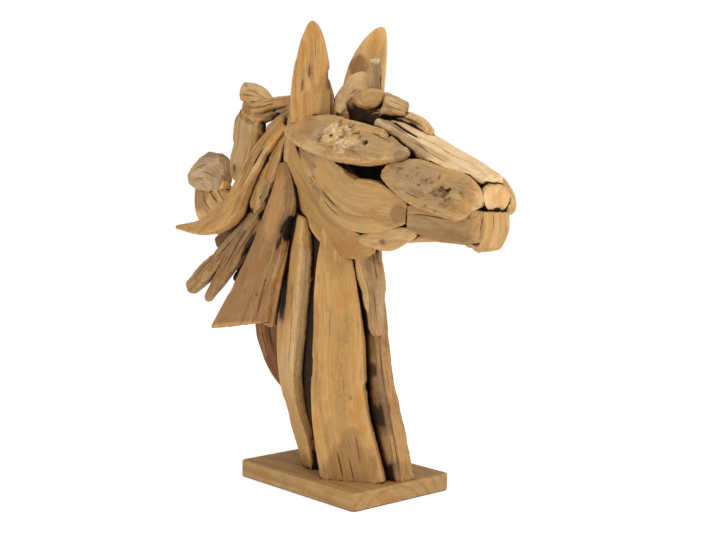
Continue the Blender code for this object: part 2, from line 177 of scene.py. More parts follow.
class DriftwoodRelief(bpy.types.PropertyGroup):
    """How worn the wood is."""
    waves: amount("Waves", "Height of the broad hollows that water has worn, in millimetres", 1.1, 4.0)
    ridges: amount("Ridges", "Height of the ridges along the grain, in millimetres", 0.34, 2.0)
    creases: amount("Creases", "Height of the split ridges along the grain, in millimetres", 1.1, 4.0)
    cracks: amount("Cracks", "How deep the drying cracks are, as a share of the usual depth", 1.0, 2.0,
                   subtype="FACTOR")


class DriftwoodStudio(bpy.types.PropertyGroup):
    """Light round the sculpture."""
    key: amount("Key light", "Power of the big soft light in front of the horse", 14.5, 200.0,
                unit="POWER")
    fill: amount("Fill light", "Power of the soft light on the horse's right side", 5.0, 200.0,
                 unit="POWER")
    ambient: amount("Ambient", "Brightness of the white room", 0.50, 3.0)
    floor: colour("Floor", "Colour of the floor", (0.90, 0.90, 0.90))


# --- the plain solids, which cast the painted shade and dirt -------------------

def solid_tree():
    """All plain solids in one tree that rays can be cast at."""
    verts, faces = [], []
    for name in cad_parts:
        mesh = bpy.data.objects[name].data
        first = len(verts)
        verts += [vert.co.copy() for vert in mesh.vertices]
        faces += [[first + index for index in face.vertices] for face in mesh.polygons]
    return BVHTree.FromPolygons(verts, faces)


SOLIDS = solid_tree()


# --- smooth noise ---------------------------------------------------------------

CELL_FACTORS = (73856093, 19349663, 83492791)
SEED_FACTOR = 40503
STIR = ((15, 739982445), (12, 695872825))
KEPT_BITS = 0x7FFFFFFF
LAST_BITS = 0xFFFF


def noise(points, seed):
    """Smooth noise from -1 to 1 at each point, with features about one unit wide."""
    cell = np.floor(points).astype(np.int64)
    part = points - cell
    part = part * part * (3.0 - 2.0 * part)
    total = np.zeros(len(points))
    for corner in np.ndindex(2, 2, 2):
        x, y, z = ((cell + corner) * CELL_FACTORS).T
        mixed = (x ^ y ^ z ^ (seed * SEED_FACTOR)) & KEPT_BITS
        for shift, factor in STIR:
            mixed = ((mixed ^ (mixed >> shift)) * factor) & KEPT_BITS
        value = ((mixed ^ (mixed >> 9)) & LAST_BITS) / (LAST_BITS / 2) - 1.0
        share = np.prod(np.where(np.array(corner, bool), part, 1.0 - part), axis=1)
        total += value * share
    return total


def smooth(value, low, high):
    """0 below low, 1 above high, and an even S between."""
    t = np.clip((value - low) / (high - low), 0.0, 1.0)
    return t * t * (3.0 - 2.0 * t)


# --- a piece of wood ------------------------------------------------------------

@dataclass
class Wood:
    """One piece of driftwood: its shape and what time has done to it.

    Across is -1 to 1 and along is 0 to 1. Reaches, widths and depths are millimetres, and
    a pair of values is for the root and the tip.
    """
    name: str
    tone: str
    line: tuple                 # (x, z, width) from root to tip, along the middle of the outer face
    side: tuple                 # y at the root and the tip, or at the root, the middle and the tip
    out: tuple                  # the way the face looks, or a pair of them
    thick: float                # depth behind the line
    crown: float = 5            # rise in front of it
    square: float = 3.0         # 2 is a round section, 4 a square one
    ends: tuple = (0, 0)        # how far they are rounded, 0 for a sawn end
    slant: tuple = (0, 0)       # how far one side of the end runs ahead of the middle
    ragged: tuple = (1.0, 1.0)  # how far they are broken
    notches: tuple = ()         # (side, along, reach, depth), bitten out, or a bulge if negative
    chips: tuple = ()           # (across, along, reach across, reach along, depth) of split-off flakes
    cracks: tuple = ()          # (across, start, end, width, depth)
    knots: tuple = ()           # (across, along, radius), dark, with the grain flowing round them
    pits: tuple = ()            # (across, along, reach, depth), where the wood is eaten away
    stains: tuple = ()          # (across, along, reach across, reach along, strength)
    pales: tuple = ()           # the same, but bleached
    greys: tuple = ()           # the same, but weathered grey
    fresh: tuple = ()           # the same, but with the weathered skin gone
    shade_and_blotches: tuple = ()           # the same, but black, and only behind the outer face: painted shade, and a few dark blotches
    rot_and_shade_holes: tuple = ()           # the same, but sunk and ragged where the wood has rotted, and painted black as shade
    steps: float = 0.0          # height of the worn layers that run over the piece
    shade: float = 1.0          # how light the piece is
    cool: float = 0.0           # how much bluer the piece is than its tone
    crusty: float = 0.0         # how much of its palest spots is dried crust
    clean: float = 0.0          # the share of the painted shade and dirt that is left off
    rings: float = 5.0          # distance between its growth rings
    wear: float = 1.0           # how worn it is
    auto: int = 2               # how many small cracks and flakes it has besides
    crisp: float = CRISPNESS    # how much squarer its section is than that of the plain solid
    soft: tuple = (0, 0)        # how far the ends are worn round, where that is more than ends

    def __post_init__(self):
        if not isinstance(self.out[0], tuple):
            self.out = (self.out, self.out)
        self.square = 2.0 + self.crisp * (self.square - 2.0)
        self.ends = [max(end, worn_round, EDGE) for end, worn_round in zip(self.ends, self.soft)]
        self.seed = zlib.crc32(self.name.encode()) % 100000
        self.chance = random.Random(self.seed)
        self.cracks = list(self.cracks) + [self.small_crack() for _ in range(self.auto)]
        self.chips = list(self.chips) + [self.small_chip() for _ in range(3 * self.auto)]

    def small_crack(self):
        """A fine drying crack at a place of its own."""
        across = self.chance.uniform(-0.75, 0.75)
        start = self.chance.uniform(0.02, 0.7)
        reach = self.chance.uniform(0.10, 0.30)
        return (across, start, min(0.98, start + reach), 0.35, 0.6)

    def small_chip(self):
        """A small flake off one of the long edges."""
        across = self.chance.choice((-1.0, 1.0)) * self.chance.uniform(0.6, 1.05)
        return (across, self.chance.uniform(0.04, 0.96), self.chance.uniform(3.0, 7.5),
                self.chance.uniform(7.0, 24.0), self.wear * self.chance.uniform(0.5, 1.2))


def mirrored(shape, lift, spread, inset):
    """The same shape on the horse's left side, a little changed."""
    line = tuple((x, z + lift, width * spread) for x, z, width in shape.line)
    side = tuple(-y - inset for y in shape.side)
    return Shape(line, side, flipped(shape.out))


def flipped(out):
    """A facing direction, or a pair of them, for the horse's left side."""
    if isinstance(out[0], tuple):
        return tuple(flipped(each) for each in out)
    return (out[0], -out[1], out[2])


# --- the plain shape of a piece -------------------------------------------------

def guide_points(line, side):
    """(x, y, z, width) of a line, with y on the simplest curve through its side values."""
    x, z, width = np.array(line, dtype=float).T
    values = np.linspace(0.0, 1.0, len(side))
    along = np.linspace(0.0, 1.0, len(line))
    y = np.polyval(np.polyfit(values, side, len(side) - 1), along)
    return np.column_stack((x, y, z, width))


def spread_line(guides, at):
    """Points and widths at these distances on a smooth curve through the guides."""
    steps = np.linalg.norm(np.diff(guides[:, :3], axis=0), axis=1)
    places = np.concatenate(([0.0], np.cumsum(steps)))
    slopes = np.gradient(guides, places, axis=0)
    spans = np.clip(np.searchsorted(places, at, side="right") - 1, 0, len(steps) - 1)
    length = steps[spans][:, None]
    t = ((at - places[spans]) / steps[spans])[:, None]
    start, end = guides[spans], guides[spans + 1]
    lead, tail = slopes[spans] * length, slopes[spans + 1] * length
    return ((2 * t**3 - 3 * t**2 + 1) * start + (t**3 - 2 * t**2 + t) * lead
            + (3 * t**2 - 2 * t**3) * end + (t**3 - t**2) * tail)


def unit(vectors):
    """The vectors at length one."""
    return vectors / np.maximum(np.linalg.norm(vectors, axis=-1, keepdims=True), 1e-9)


def power(value, exponent):
    """A power that keeps the sign."""
    return np.sign(value) * np.abs(value) ** exponent


def columns(wood, half):
    """Where the lines along the piece run round its section, as turns of the section."""
    turn = np.linspace(0.0, 2.0 * math.pi, SECTION_SAMPLES)
    across = power(np.cos(turn), 2.0 / wood.square) * half
    height = power(np.sin(turn), 2.0 / wood.square)
    depth = np.where(height > 0, height * wood.crown, height * wood.thick)
    pieces = np.hypot(np.diff(across), np.diff(depth))
    step = np.where(height[1:] < BACK_HEIGHT, BACK_STEP, FRONT_STEP)
    count = np.concatenate(([0.0], np.cumsum(pieces / step)))
    places = np.linspace(0.0, count[-1], max(LEAST_COLUMNS, round(count[-1])), endpoint=False)
    turns = np.interp(places, count, turn)
    for at, _, _, width, _ in wood.cracks:
        offsets = np.array(CRACK_LINES) * width / half
        sides = np.clip(at + offsets, -CRACK_LIMIT, CRACK_LIMIT)
        own = np.arccos(power(sides, wood.square / 2.0))
        keep = (turns < own.min()) | (turns > own.max())
        turns = np.sort(np.concatenate((turns[keep], own)))
    return turns


def rows(wood, length):
    """Distances along the piece, and how much of the section each row takes up."""
    count = max(LEAST_ROWS, round(length / ALONG_STEP))
    ease = np.array(END_ROWS)
    body = np.concatenate((np.linspace(0.0, length, count + 1), wood.ends[0] * ease,
                           length - wood.ends[1] * ease))
    body = np.unique(np.round(body, 3))
    caps = max(LEAST_CAPS, round(np.mean([width for _, _, width in wood.line]) / 2.0 / CAP_STEP))
    fill = np.arange(1, caps) / caps
    place = np.concatenate((np.zeros(caps - 1), body, np.full(caps - 1, length)))
    share = np.concatenate((fill, np.ones(len(body)), fill[::-1]))
    return place, share


def eased(distance, end):
    """How much the section is trimmed at this distance from an end."""
    near = np.clip(1.0 - distance / end, 0.0, 1.0)
    return 1.0 - np.sqrt(1.0 - near**2)


# --- what time has done to a piece ----------------------------------------------

def fibre_noise(wood, skin, wide, long, number):
    """Noise over a piece with features so wide and so long; each has a number of its own."""
    spots = np.column_stack((skin.across / wide, skin.along / long, skin.depth / wide))
    return noise(spots, wood.seed + number)


def away(skin, at, place):
    """How far each point is from a spot, across and along."""
    return skin.across - at * skin.half, skin.along - place * skin.length


def patches(spots, wood, skin, number):
    """How strongly a set of patches colours each point."""
    mask = np.zeros(len(skin.across))
    if not spots:
        return mask
    rough = 0.5 * fibre_noise(wood, skin, 5.0, 16.0, number)
    rough += 0.3 * fibre_noise(wood, skin, 2.0, 6.0, number + 1)
    for at, place, reach_across, reach_along, strength in spots:
        across, along = away(skin, at, place)
        far = (across / reach_across)**2 + (along / reach_along)**2
        mask = np.maximum(mask, strength * smooth(1.0 - far + 0.60 * rough, 0.05, 0.50))
    return mask


def flakes(wood, skin):
    """How deep split-off flakes go at each point, and where they are."""
    sunk = np.zeros(len(skin.across))
    bare = np.zeros(len(skin.across))
    rough = 0.50 * fibre_noise(wood, skin, 4.5, 17.0, 14) + 0.30 * fibre_noise(wood, skin, 2.0, 6.5, 15)
    for at, place, reach_across, reach_along, deep in wood.chips:
        across, along = away(skin, at, place)
        far = (across / reach_across)**2 + (along / reach_along)**2
        gone = smooth(1.0 - far + rough, 0.0, 0.24)
        sunk += deep * gone
        bare = np.maximum(bare, gone)
    return sunk, bare


def worn(wood, skin, relief):
    """How far the worn surface stands proud of the plain shape, and where flakes are off."""
    def layer(wide, long, number):
        return fibre_noise(wood, skin, wide, long, number)

    wear = wood.wear
    proud = relief.waves * wear * (layer(30.0, 60.0, 3) + 0.45 * layer(13.0, 26.0, 4))
    proud += relief.ridges * wear * (layer(6.0, 120.0, 5) + 0.6 * layer(2.8, 50.0, 6))
    proud += relief.creases * wear**2 * (0.4 - np.abs(layer(15.0, 90.0, 16)))
    proud += 0.14 * layer(4.0, 7.0, 7) + 0.10 * wear * layer(2.0, 14.0, 17)
    sunk, bare = flakes(wood, skin)
    proud -= sunk
    if wood.steps:
        phase = (0.70 * skin.along - 0.42 * skin.across) / 6.0 + 1.5 * layer(24.0, 24.0, 8)
        proud += wood.steps * ((phase % 1.0)**1.6 - 0.4) * (0.6 + 0.4 * layer(9.0, 12.0, 9))
    for at, place, reach, deep in wood.pits:
        near = smooth(1.15 - np.hypot(*away(skin, at, place)) / reach, 0.0, 0.5)
        eaten = smooth(layer(3.4, 4.4, 10) + 0.6 * layer(8.0, 9.0, 11), -0.05, 0.65)
        proud += near * (0.30 * deep * layer(5.0, 6.0, 12) - deep * eaten)
    proud -= HOLE_DEPTH * patches(wood.rot_and_shade_holes, wood, skin, 54)
    for at, place, radius in wood.knots:
        across, along = away(skin, at, place)
        far = np.hypot(across, KNOT_STRETCH * along) / radius
        proud += 0.6 * np.exp(-((far - 1.6) / 0.6)**2) - 0.9 * radius * smooth(1.15 - far, 0.0, 1.0)
    return proud, bare


def outline(wood, place, length, side):
    """How far one side of the outline stands out of the plain shape, row by row."""
    def layer(long, number):
        spots = np.column_stack((place / long, np.full(len(place), side * 3.7), np.zeros(len(place))))
        return noise(spots, wood.seed + number)

    out = wood.wear * (1.1 * layer(36.0, 21) + 0.50 * layer(13.0, 22) + 0.24 * layer(5.5, 23))
    for at_side, at, reach, deep in wood.notches:
        if at_side == side:
            far = np.abs(place - at * length) / reach
            out = out - deep * (1.0 - smooth(far + 0.08 * layer(4.0, 24), 0.5, 1.0))
    return out


def dirt(points, normals):
    """How much painted shade and dirt each point gets from the wood round it: 0 in the open and 1 deep
    inside.
    """
    index = np.arange(SHADE_RAYS)
    turn = index * RAY_TURN
    reach = np.sqrt((index + 0.5) / SHADE_RAYS)
    rays = np.column_stack((reach * np.cos(turn), reach * np.sin(turn), np.sqrt(1.0 - reach**2)))
    rings, around = points.shape[:2]
    spots = points[::2, ::2].reshape(-1, 3)
    up = normals[::2, ::2].reshape(-1, 3)
    helper = np.where(np.abs(up[:, :1]) > 0.8, (0.0, 1.0, 0.0), (1.0, 0.0, 0.0))
    first = unit(np.cross(up, helper))
    second = np.cross(up, first)
    starts = spots + up * SHADE_LIFT * MM
    dark = np.empty(len(spots))
    far = SHELTER_REACH * MM
    for number, start in enumerate(starts):
        ways = rays @ np.array((first[number], second[number], up[number]))
        hits = [SOLIDS.ray_cast(start, way, far)[3] for way in ways]
        hits = [hit for hit in hits if hit is not None]
        shut = len(hits) / SHADE_RAYS
        near = sum(max(0.0, 1.0 - hit / (CLOSE_SHADE_REACH * MM)) for hit in hits) / SHADE_RAYS
        dark[number] = max(shut - UNSHADED_SHELTER, 0.0) / (1.0 - UNSHADED_SHELTER) + CLOSE_SHADE * near
    dark = dark.reshape(-(-rings // 2), -(-around // 2))
    dark = dark.repeat(2, axis=0)[:rings].repeat(2, axis=1)[:, :around]
    own, row, next_row = SHADE_BLUR
    for _ in range(SHADE_BLURS):
        beside = (np.roll(dark, 1, axis=1) + np.roll(dark, -1, axis=1)) / 2
        below = np.vstack((dark[:1], dark[:-1]))
        above = np.vstack((dark[1:], dark[-1:]))
        dark = own * dark + row * beside + next_row * (below + above)
    return np.clip(dark, 0.0, 1.0)


def crack_cut(wood, start_side, along, half, length, front):
    """How far each point lies in a crack, and how deep the crack is there."""
    mask = np.zeros(start_side.shape)
    cut = np.zeros(start_side.shape)
    for at, start, end, width, deep in wood.cracks:
        far = np.abs(start_side - at) * half / (CRACK_LIPS * width)
        lips = np.clip(1.0 - far, 0.0, 1.0)**1.3 * front
        reach = along / length
        span = smooth(reach, start, start + 0.25 * (end - start))
        span = span * (1.0 - smooth(reach, end - 0.3 * (end - start), end))
        mask = np.maximum(mask, lips * span * min(1.0, 0.55 + 0.35 * width))
        cut = np.maximum(cut, lips * span * deep)
    return mask, cut


def crack_wander(wood, side, along, front):
    """Lets the lines along the piece wander with the cracks that they follow."""
    for number, (at, _, _, _, _) in enumerate(wood.cracks):
        spots = np.column_stack((along.ravel() / CRACK_BEND, np.full(along.size, number * 7.3),
                                 np.zeros(along.size)))
        drift = CRACK_STRAY * noise(spots, wood.seed + 20).reshape(along.shape)
        near = np.exp(-((side - at) / CRACK_PULL)**2) * (1.0 - np.abs(side))
        side = side + drift * near * front
    return np.clip(side, -1.0, 1.0)


def end_breaks(wood, along, flat, deep, length):
    """How far a broken end shifts each point along the piece."""
    level = np.zeros(flat.size)
    torn = noise(np.column_stack((flat.ravel() / 4.5, deep.ravel() / 6.0, level)), wood.seed + 30)
    torn += 0.5 * noise(np.column_stack((flat.ravel() / 1.9, deep.ravel() / 3.0, level)), wood.seed + 31)
    torn = torn.reshape(flat.shape)
    near_root, near_tip = [np.clip(1.0 - far / BROKEN_REACH, 0.0, 1.0) for far in (along, length - along)]
    return wood.ragged[1] * torn * near_tip**1.5 - wood.ragged[0] * torn * near_root**1.5


def stained(wood, skin, crack, bare, proud):
    """What the material needs to know of stains and bleaching, and of the painted shade in cracks, hollows,
    holes and hidden backs.
    """
    knot_spots = [(at, put, 1.5 * radius, 2.0 * radius, 1.0) for at, put, radius in wood.knots]
    shaded_hollows = np.clip(-proud / DARK_HOLLOW, 0.0, 1.0)
    painted_back_shade = patches(wood.shade_and_blotches, wood, skin, 52) * smooth(-skin.depth, 0.0, 4.0)
    return {
        "stain": patches(list(wood.stains) + knot_spots, wood, skin, 40),
        "pale": np.maximum(patches(wood.pales, wood, skin, 43), 0.35 * bare),
        "grey": patches(wood.greys, wood, skin, 46),
        "fresh": patches(wood.fresh, wood, skin, 48),
        "crack": np.maximum.reduce((crack, 0.5 * smooth(shaded_hollows, 0.45, 1.0), painted_back_shade,
                                    patches(wood.rot_and_shade_holes, wood, skin, 54))),
    }


def grown(wood, skin):
    """The way the grain runs, and how far each point is from the heart of the tree."""
    grain = np.column_stack((skin.across, skin.along, skin.depth))
    for at, place, radius in wood.knots:
        across, along = away(skin, at, place)
        far = np.hypot(across, 0.6 * along) / (2.2 * radius)
        grain[:, 0] -= np.sign(across) * radius * np.exp(-far**2) * smooth(np.abs(across), 0, radius)
    pith = np.array([skin.half * wood.chance.uniform(-0.6, 0.6), -PITH_DEPTH * wood.thick])
    tilt = wood.chance.uniform(-0.05, 0.05)
    sway = np.zeros(len(grain))
    for height, long, wide, number in ((3.2, 95.0, 60.0, 50), (1.1, 34.0, 24.0, 51)):
        spots = np.column_stack((skin.along / long, skin.across / wide, skin.depth / wide))
        sway += height * noise(spots, wood.seed + number)
    ring = np.hypot(grain[:, 0] - pith[0] + sway, grain[:, 2] - pith[1]) + tilt * skin.along + sway
    return grain, ring


# --- the finished mesh of a piece -----------------------------------------------

def directions(wood, guides, place, length):
    """The way along, across and out of the piece at each row."""
    nudge = 0.5 * ALONG_STEP
    ahead = spread_line(guides, np.clip(place + nudge, 0.0, length))[:, :3]
    back = spread_line(guides, np.clip(place - nudge, 0.0, length))[:, :3]
    tangent = unit(ahead - back)
    reach = (place / length)[:, None]
    face = np.array(wood.out[0]) * (1.0 - reach) + np.array(wood.out[1]) * reach
    across = unit(np.cross(tangent, face))
    return tangent, across, unit(np.cross(across, tangent))


def row_sizes(wood, place, width, length):
    """Half the width, the rise and the depth of each row, less where an end is rounded."""
    slim = (width / width.max())**SLIMMING
    half = 0.5 * width
    rise = wood.crown * slim
    depth = wood.thick * slim
    for end, i, distance in zip(wood.ends, (0, -1), (place, length - place)):
        sharp = eased(distance, end)
        thin_end = min(end, END_THICKNESS * (rise + depth)[i])
        half = half - min(end, END_NARROWING * half[i]) * sharp
        rise = rise - END_THINNING * thin_end * sharp
        depth = depth - thin_end * sharp
    return half, rise, depth


def facings(spots, centre):
    """The way the surface looks at each point, away from the middle of the piece."""
    normals = unit(np.cross(np.roll(spots, -1, axis=1) - np.roll(spots, 1, axis=1),
                            np.gradient(spots, axis=0)))
    if ((spots - centre[:, None, :]) * normals).sum(axis=2).mean() <= 0:
        normals = -normals
    return normals


def shape_points(wood, relief):
    """Every point of the piece, row by row, with what the material needs to know there."""
    guides = guide_points(wood.line, wood.side)
    length = np.linalg.norm(np.diff(guides[:, :3], axis=0), axis=1).sum()
    place, share = rows(wood, length)
    points = spread_line(guides, place)
    centre = points[:, :3]
    width = np.maximum(points[:, 3], LEAST_WIDTH)
    tangent, across, outward = directions(wood, guides, place, length)
    half, rise, depth = row_sizes(wood, place, width, length)

    half_full = 0.5 * width.max()
    turns = columns(wood, half_full)
    side = power(np.cos(turns), 2.0 / wood.square)[None, :]
    up = power(np.sin(turns), 2.0 / wood.square)[None, :]
    shape = (len(place), len(turns))
    start_side = np.broadcast_to(side, shape)
    front = (up > 0) * smooth(FRONT_LIMIT - np.abs(side), 0.0, FRONT_FADE)
    front = np.broadcast_to(front, shape)
    along = np.broadcast_to(place[:, None], shape)
    side = crack_wander(wood, start_side, along, front)
    over = (1.0 - np.abs(side)**wood.square)**(1.0 / wood.square)
    up = np.where(front > 0, over, np.broadcast_to(up, shape))

    height = np.where(up > 0, rise[:, None], depth[:, None])
    middle = (0.5 * (rise - depth))[:, None]
    share = share[:, None]
    flat = side * half[:, None] * share
    deep = middle + (up * height - middle) * share
    lean_side = power(side, wood.square - 1.0) / np.maximum(half[:, None], 1.0)
    lean_up = power(up, wood.square - 1.0) / np.maximum(np.abs(height), 1.0)
    lean = np.hypot(lean_side, lean_up) + 1e-9
    lean_side, lean_up = lean_side / lean, lean_up / lean

    spare = [outline(wood, place, length, sign)[:, None] for sign in (1, -1)]
    thin = np.minimum(1.0, (2.0 * half[:, None]) / THIN_WOOD)
    flat = flat + power(side, 2.0) * np.where(side > 0, spare[0], spare[1]) * share * thin
    skin = Skin(flat.ravel(), np.array(along).ravel(), deep.ravel(), half_full, length)
    proud, bare = worn(wood, skin, relief)
    crack, cut = crack_cut(wood, start_side, along, half_full, length, front)
    proud = (proud.reshape(shape) - cut * relief.cracks) * thin * share
    shift = end_breaks(wood, along, flat, deep, length)
    reach = (place / length)[:, None]
    skew = (wood.slant[1] * reach**2 - wood.slant[0] * (1.0 - reach)**2) * side * share

    def spread(vectors, amounts):
        return vectors[:, None, :] * amounts[:, :, None]

    spots = (centre[:, None, :] + spread(across, flat + proud * lean_side)
             + spread(outward, deep + proud * lean_up) + spread(tangent, shift + skew))

    on_cap = (share < 1.0) * np.ones(shape)
    toward = np.where(place < 0.5 * length, -1.0, 1.0)[:, None, None] * tangent[:, None, :]
    normals = np.where(on_cap[:, :, None] > 0, toward, facings(spots, centre))

    marks = stained(wood, skin, crack.ravel(), bare, proud.ravel())
    # painted shade, with some dirt, wherever other wood shelters the piece
    marks["dirt"] = dirt(spots * MM, normals).ravel() * (1.0 - wood.clean)
    # pale front edges and ends: worn, and with a painted highlight
    corner = 4.0 * lean_side**2 * lean_up**2 * (up > 0)
    marks["edge"] = np.maximum(corner * (1.0 - on_cap), 0.5 * on_cap).ravel()
    grain, ring = grown(wood, skin)
    marks["ring"] = ring * MM
    return spots * MM, grain * MM, marks


# What each vector on the mesh holds; wear holds painted shade and the worn, highlighted edges, and the last
# number of growth is spare
MARKS = {
    "marks": ("stain", "pale", "grey"),
    "wear": ("crack", "dirt", "edge"),
    "growth": ("ring", "fresh", "fresh"),
}


def put_vectors(mesh, name, values):
    """Writes three numbers at each point of the mesh for the material to read."""
    layer = mesh.attributes.new(name, "FLOAT_VECTOR", "POINT")
    layer.data.foreach_set("vector", values.astype(np.float32).ravel())


def strip_faces(rings, around):
    """The numbers of the points ring by ring, and the faces that join each ring to the next."""
    index = np.arange(rings * around).reshape(rings, around)
    after = np.roll(index, -1, axis=1)
    quads = np.stack((index[:-1], after[:-1], after[1:], index[1:]), axis=-1).reshape(-1, 4)
    return index, after, quads.tolist()


def finished(mesh):
    """The mesh with every face turned outwards and smooth shading."""
    bm = bmesh.new()
    bm.from_mesh(mesh)
    bmesh.ops.recalc_face_normals(bm, faces=bm.faces[:])
    bm.to_mesh(mesh)
    bm.free()
    mesh.shade_smooth()
    return mesh


def wood_mesh(wood, relief):
    """The closed mesh of one piece, with its grain and marks as attributes."""
    points, grain, marks = shape_points(wood, relief)
    rings, around = points.shape[:2]
    poles = np.array([points[0].mean(axis=0), points[-1].mean(axis=0)])
    verts = np.vstack((points.reshape(-1, 3), poles))
    index, after, faces = strip_faces(rings, around)
    first, last = rings * around, rings * around + 1
    faces += [(first, after[0, a], index[0, a]) for a in range(around)]
    faces += [(last, index[-1, a], after[-1, a]) for a in range(around)]
    mesh = bpy.data.meshes.new(wood.name)
    mesh.from_pydata(verts.tolist(), [], faces)

    def with_poles(values):
        return np.concatenate((values, [values[rim].mean(axis=0) for rim in (index[0], index[-1])]))

    put_vectors(mesh, "grain", with_poles(grain))
    for name, parts in MARKS.items():
        put_vectors(mesh, name, np.column_stack([with_poles(marks[part]) for part in parts]))
    return finished(mesh)


# --- shader ---------------------------------------------------------------------

VECTOR = 1                  # the output of an attribute node that gives a vector
OCCLUSION = 1               # the output of an ambient occlusion node that gives a number
MIXED_COLOUR = 2            # the output of a mix node that gives a colour
MIX_SOCKETS = (0, 6, 7)     # and its inputs: the share and the two colours


class Value:
    """A number in a shader. Arithmetic on it adds Math nodes."""

    def __init__(self, shader, socket):
        self.shader = shader
        self.socket = socket

    def __add__(self, other):
        return self.shader.math("ADD", self, other)

    def __sub__(self, other):
        return self.shader.math("SUBTRACT", self, other)

    def __rsub__(self, other):
        return self.shader.math("SUBTRACT", other, self)

    def __mul__(self, other):
        return self.shader.math("MULTIPLY", self, other)

    __radd__ = __add__
    __rmul__ = __mul__


class Shader:
    """Builds the nodes of one material."""

    def __init__(self, name):
        self.material = bpy.data.materials.new(name)
        self.material.use_nodes = True
        self.tree = self.material.node_tree
        self.surface = self.tree.nodes["Principled BSDF"]

    def outputs(self, kind, settings, inputs):
        """All outputs of a new node: its settings come first, then its values and links."""
        made = self.tree.nodes.new(kind)
        for key, setting in settings.items():
            setattr(made, key, setting)
        for key, value in inputs.items():
            self.set(made.inputs[key], value)
        return [Value(self, socket) for socket in made.outputs]

    def node(self, kind, settings, inputs, output=0):
        """One output of a new node."""
        return self.outputs(kind, settings, inputs)[output]

    def set(self, socket, value):
        """Links a value to a socket, or sets the socket to a plain number or colour."""
        if isinstance(value, Value):
            self.tree.links.new(value.socket, socket)
        elif isinstance(value, (int, float)):
            socket.default_value = value
        else:
            value = tuple(value)
            if socket.type == "RGBA" and len(value) == 3:
                value += (1.0,)
            socket.default_value = value

    def finish(self, **values):
        """Sets the sockets of the surface, with _ for a space in their names."""
        for name, value in values.items():
            self.set(self.surface.inputs[name.replace("_", " ")], value)
        return self.material

    def math(self, operation, first, second):
        return self.node("ShaderNodeMath", {"operation": operation}, {0: first, 1: second})

    def sine(self, value):
        return self.node("ShaderNodeMath", {"operation": "SINE"}, {0: value})

    def vector_math(self, operation, first, second):
        return self.node("ShaderNodeVectorMath", {"operation": operation}, {0: first, 1: second})

    def mix(self, share, low, high, blend="MIX"):
        """A colour between two colours."""
        return self.node("ShaderNodeMix", {"data_type": "RGBA", "blend_type": blend, "clamp_factor": True},
                         dict(zip(MIX_SOCKETS, (share, low, high))), MIXED_COLOUR)

    def smooth(self, value, low, high, start=0.0, end=1.0):
        """An even S from start to end as the value goes from low to high."""
        return self.node("ShaderNodeMapRange", {"interpolation_type": "SMOOTHSTEP"},
                         {"Value": value, "From Min": low, "From Max": high, "To Min": start, "To Max": end})

    def attribute(self, name):
        """The vector that the mesh carries at each point."""
        return self.node("ShaderNodeAttribute", {"attribute_name": name}, {}, VECTOR)

    def parts(self, name):
        """The three numbers of a vector that the mesh carries."""
        return self.outputs("ShaderNodeSeparateXYZ", {}, {0: self.attribute(name)})

    def grain_noise(self, vector, wide, long, detail, rough):
        """Noise stretched along the grain, with features of these sizes in millimetres."""
        scaled = self.vector_math("MULTIPLY", vector, (1 / (wide * MM), 1 / (long * MM), 1 / (wide * MM)))
        return self.node("ShaderNodeTexNoise", {"noise_dimensions": "3D"},
                         {"Vector": scaled, "Scale": 1.0, "Detail": detail, "Roughness": rough})


def tinted(base, shares):
    """A colour made darker or warmer by a share for each of red, green and blue."""
    return Vector([value * share for value, share in zip(base, shares)])


def wood_base(tone, shade, cool, chance):
    """The main colour of a piece, which varies a little from piece to piece."""
    hue = chance.uniform(-0.04, 0.04)
    red, green, blue = Vector(tone) * shade * chance.uniform(0.95, 1.05)
    mixed = (red * (1.0 + hue), green * (1.0 + 0.35 * cool), blue * (1.0 - 1.5 * hue) * (1.0 + cool))
    return Vector(mixed) * min(1.0, PALEST / max(mixed))


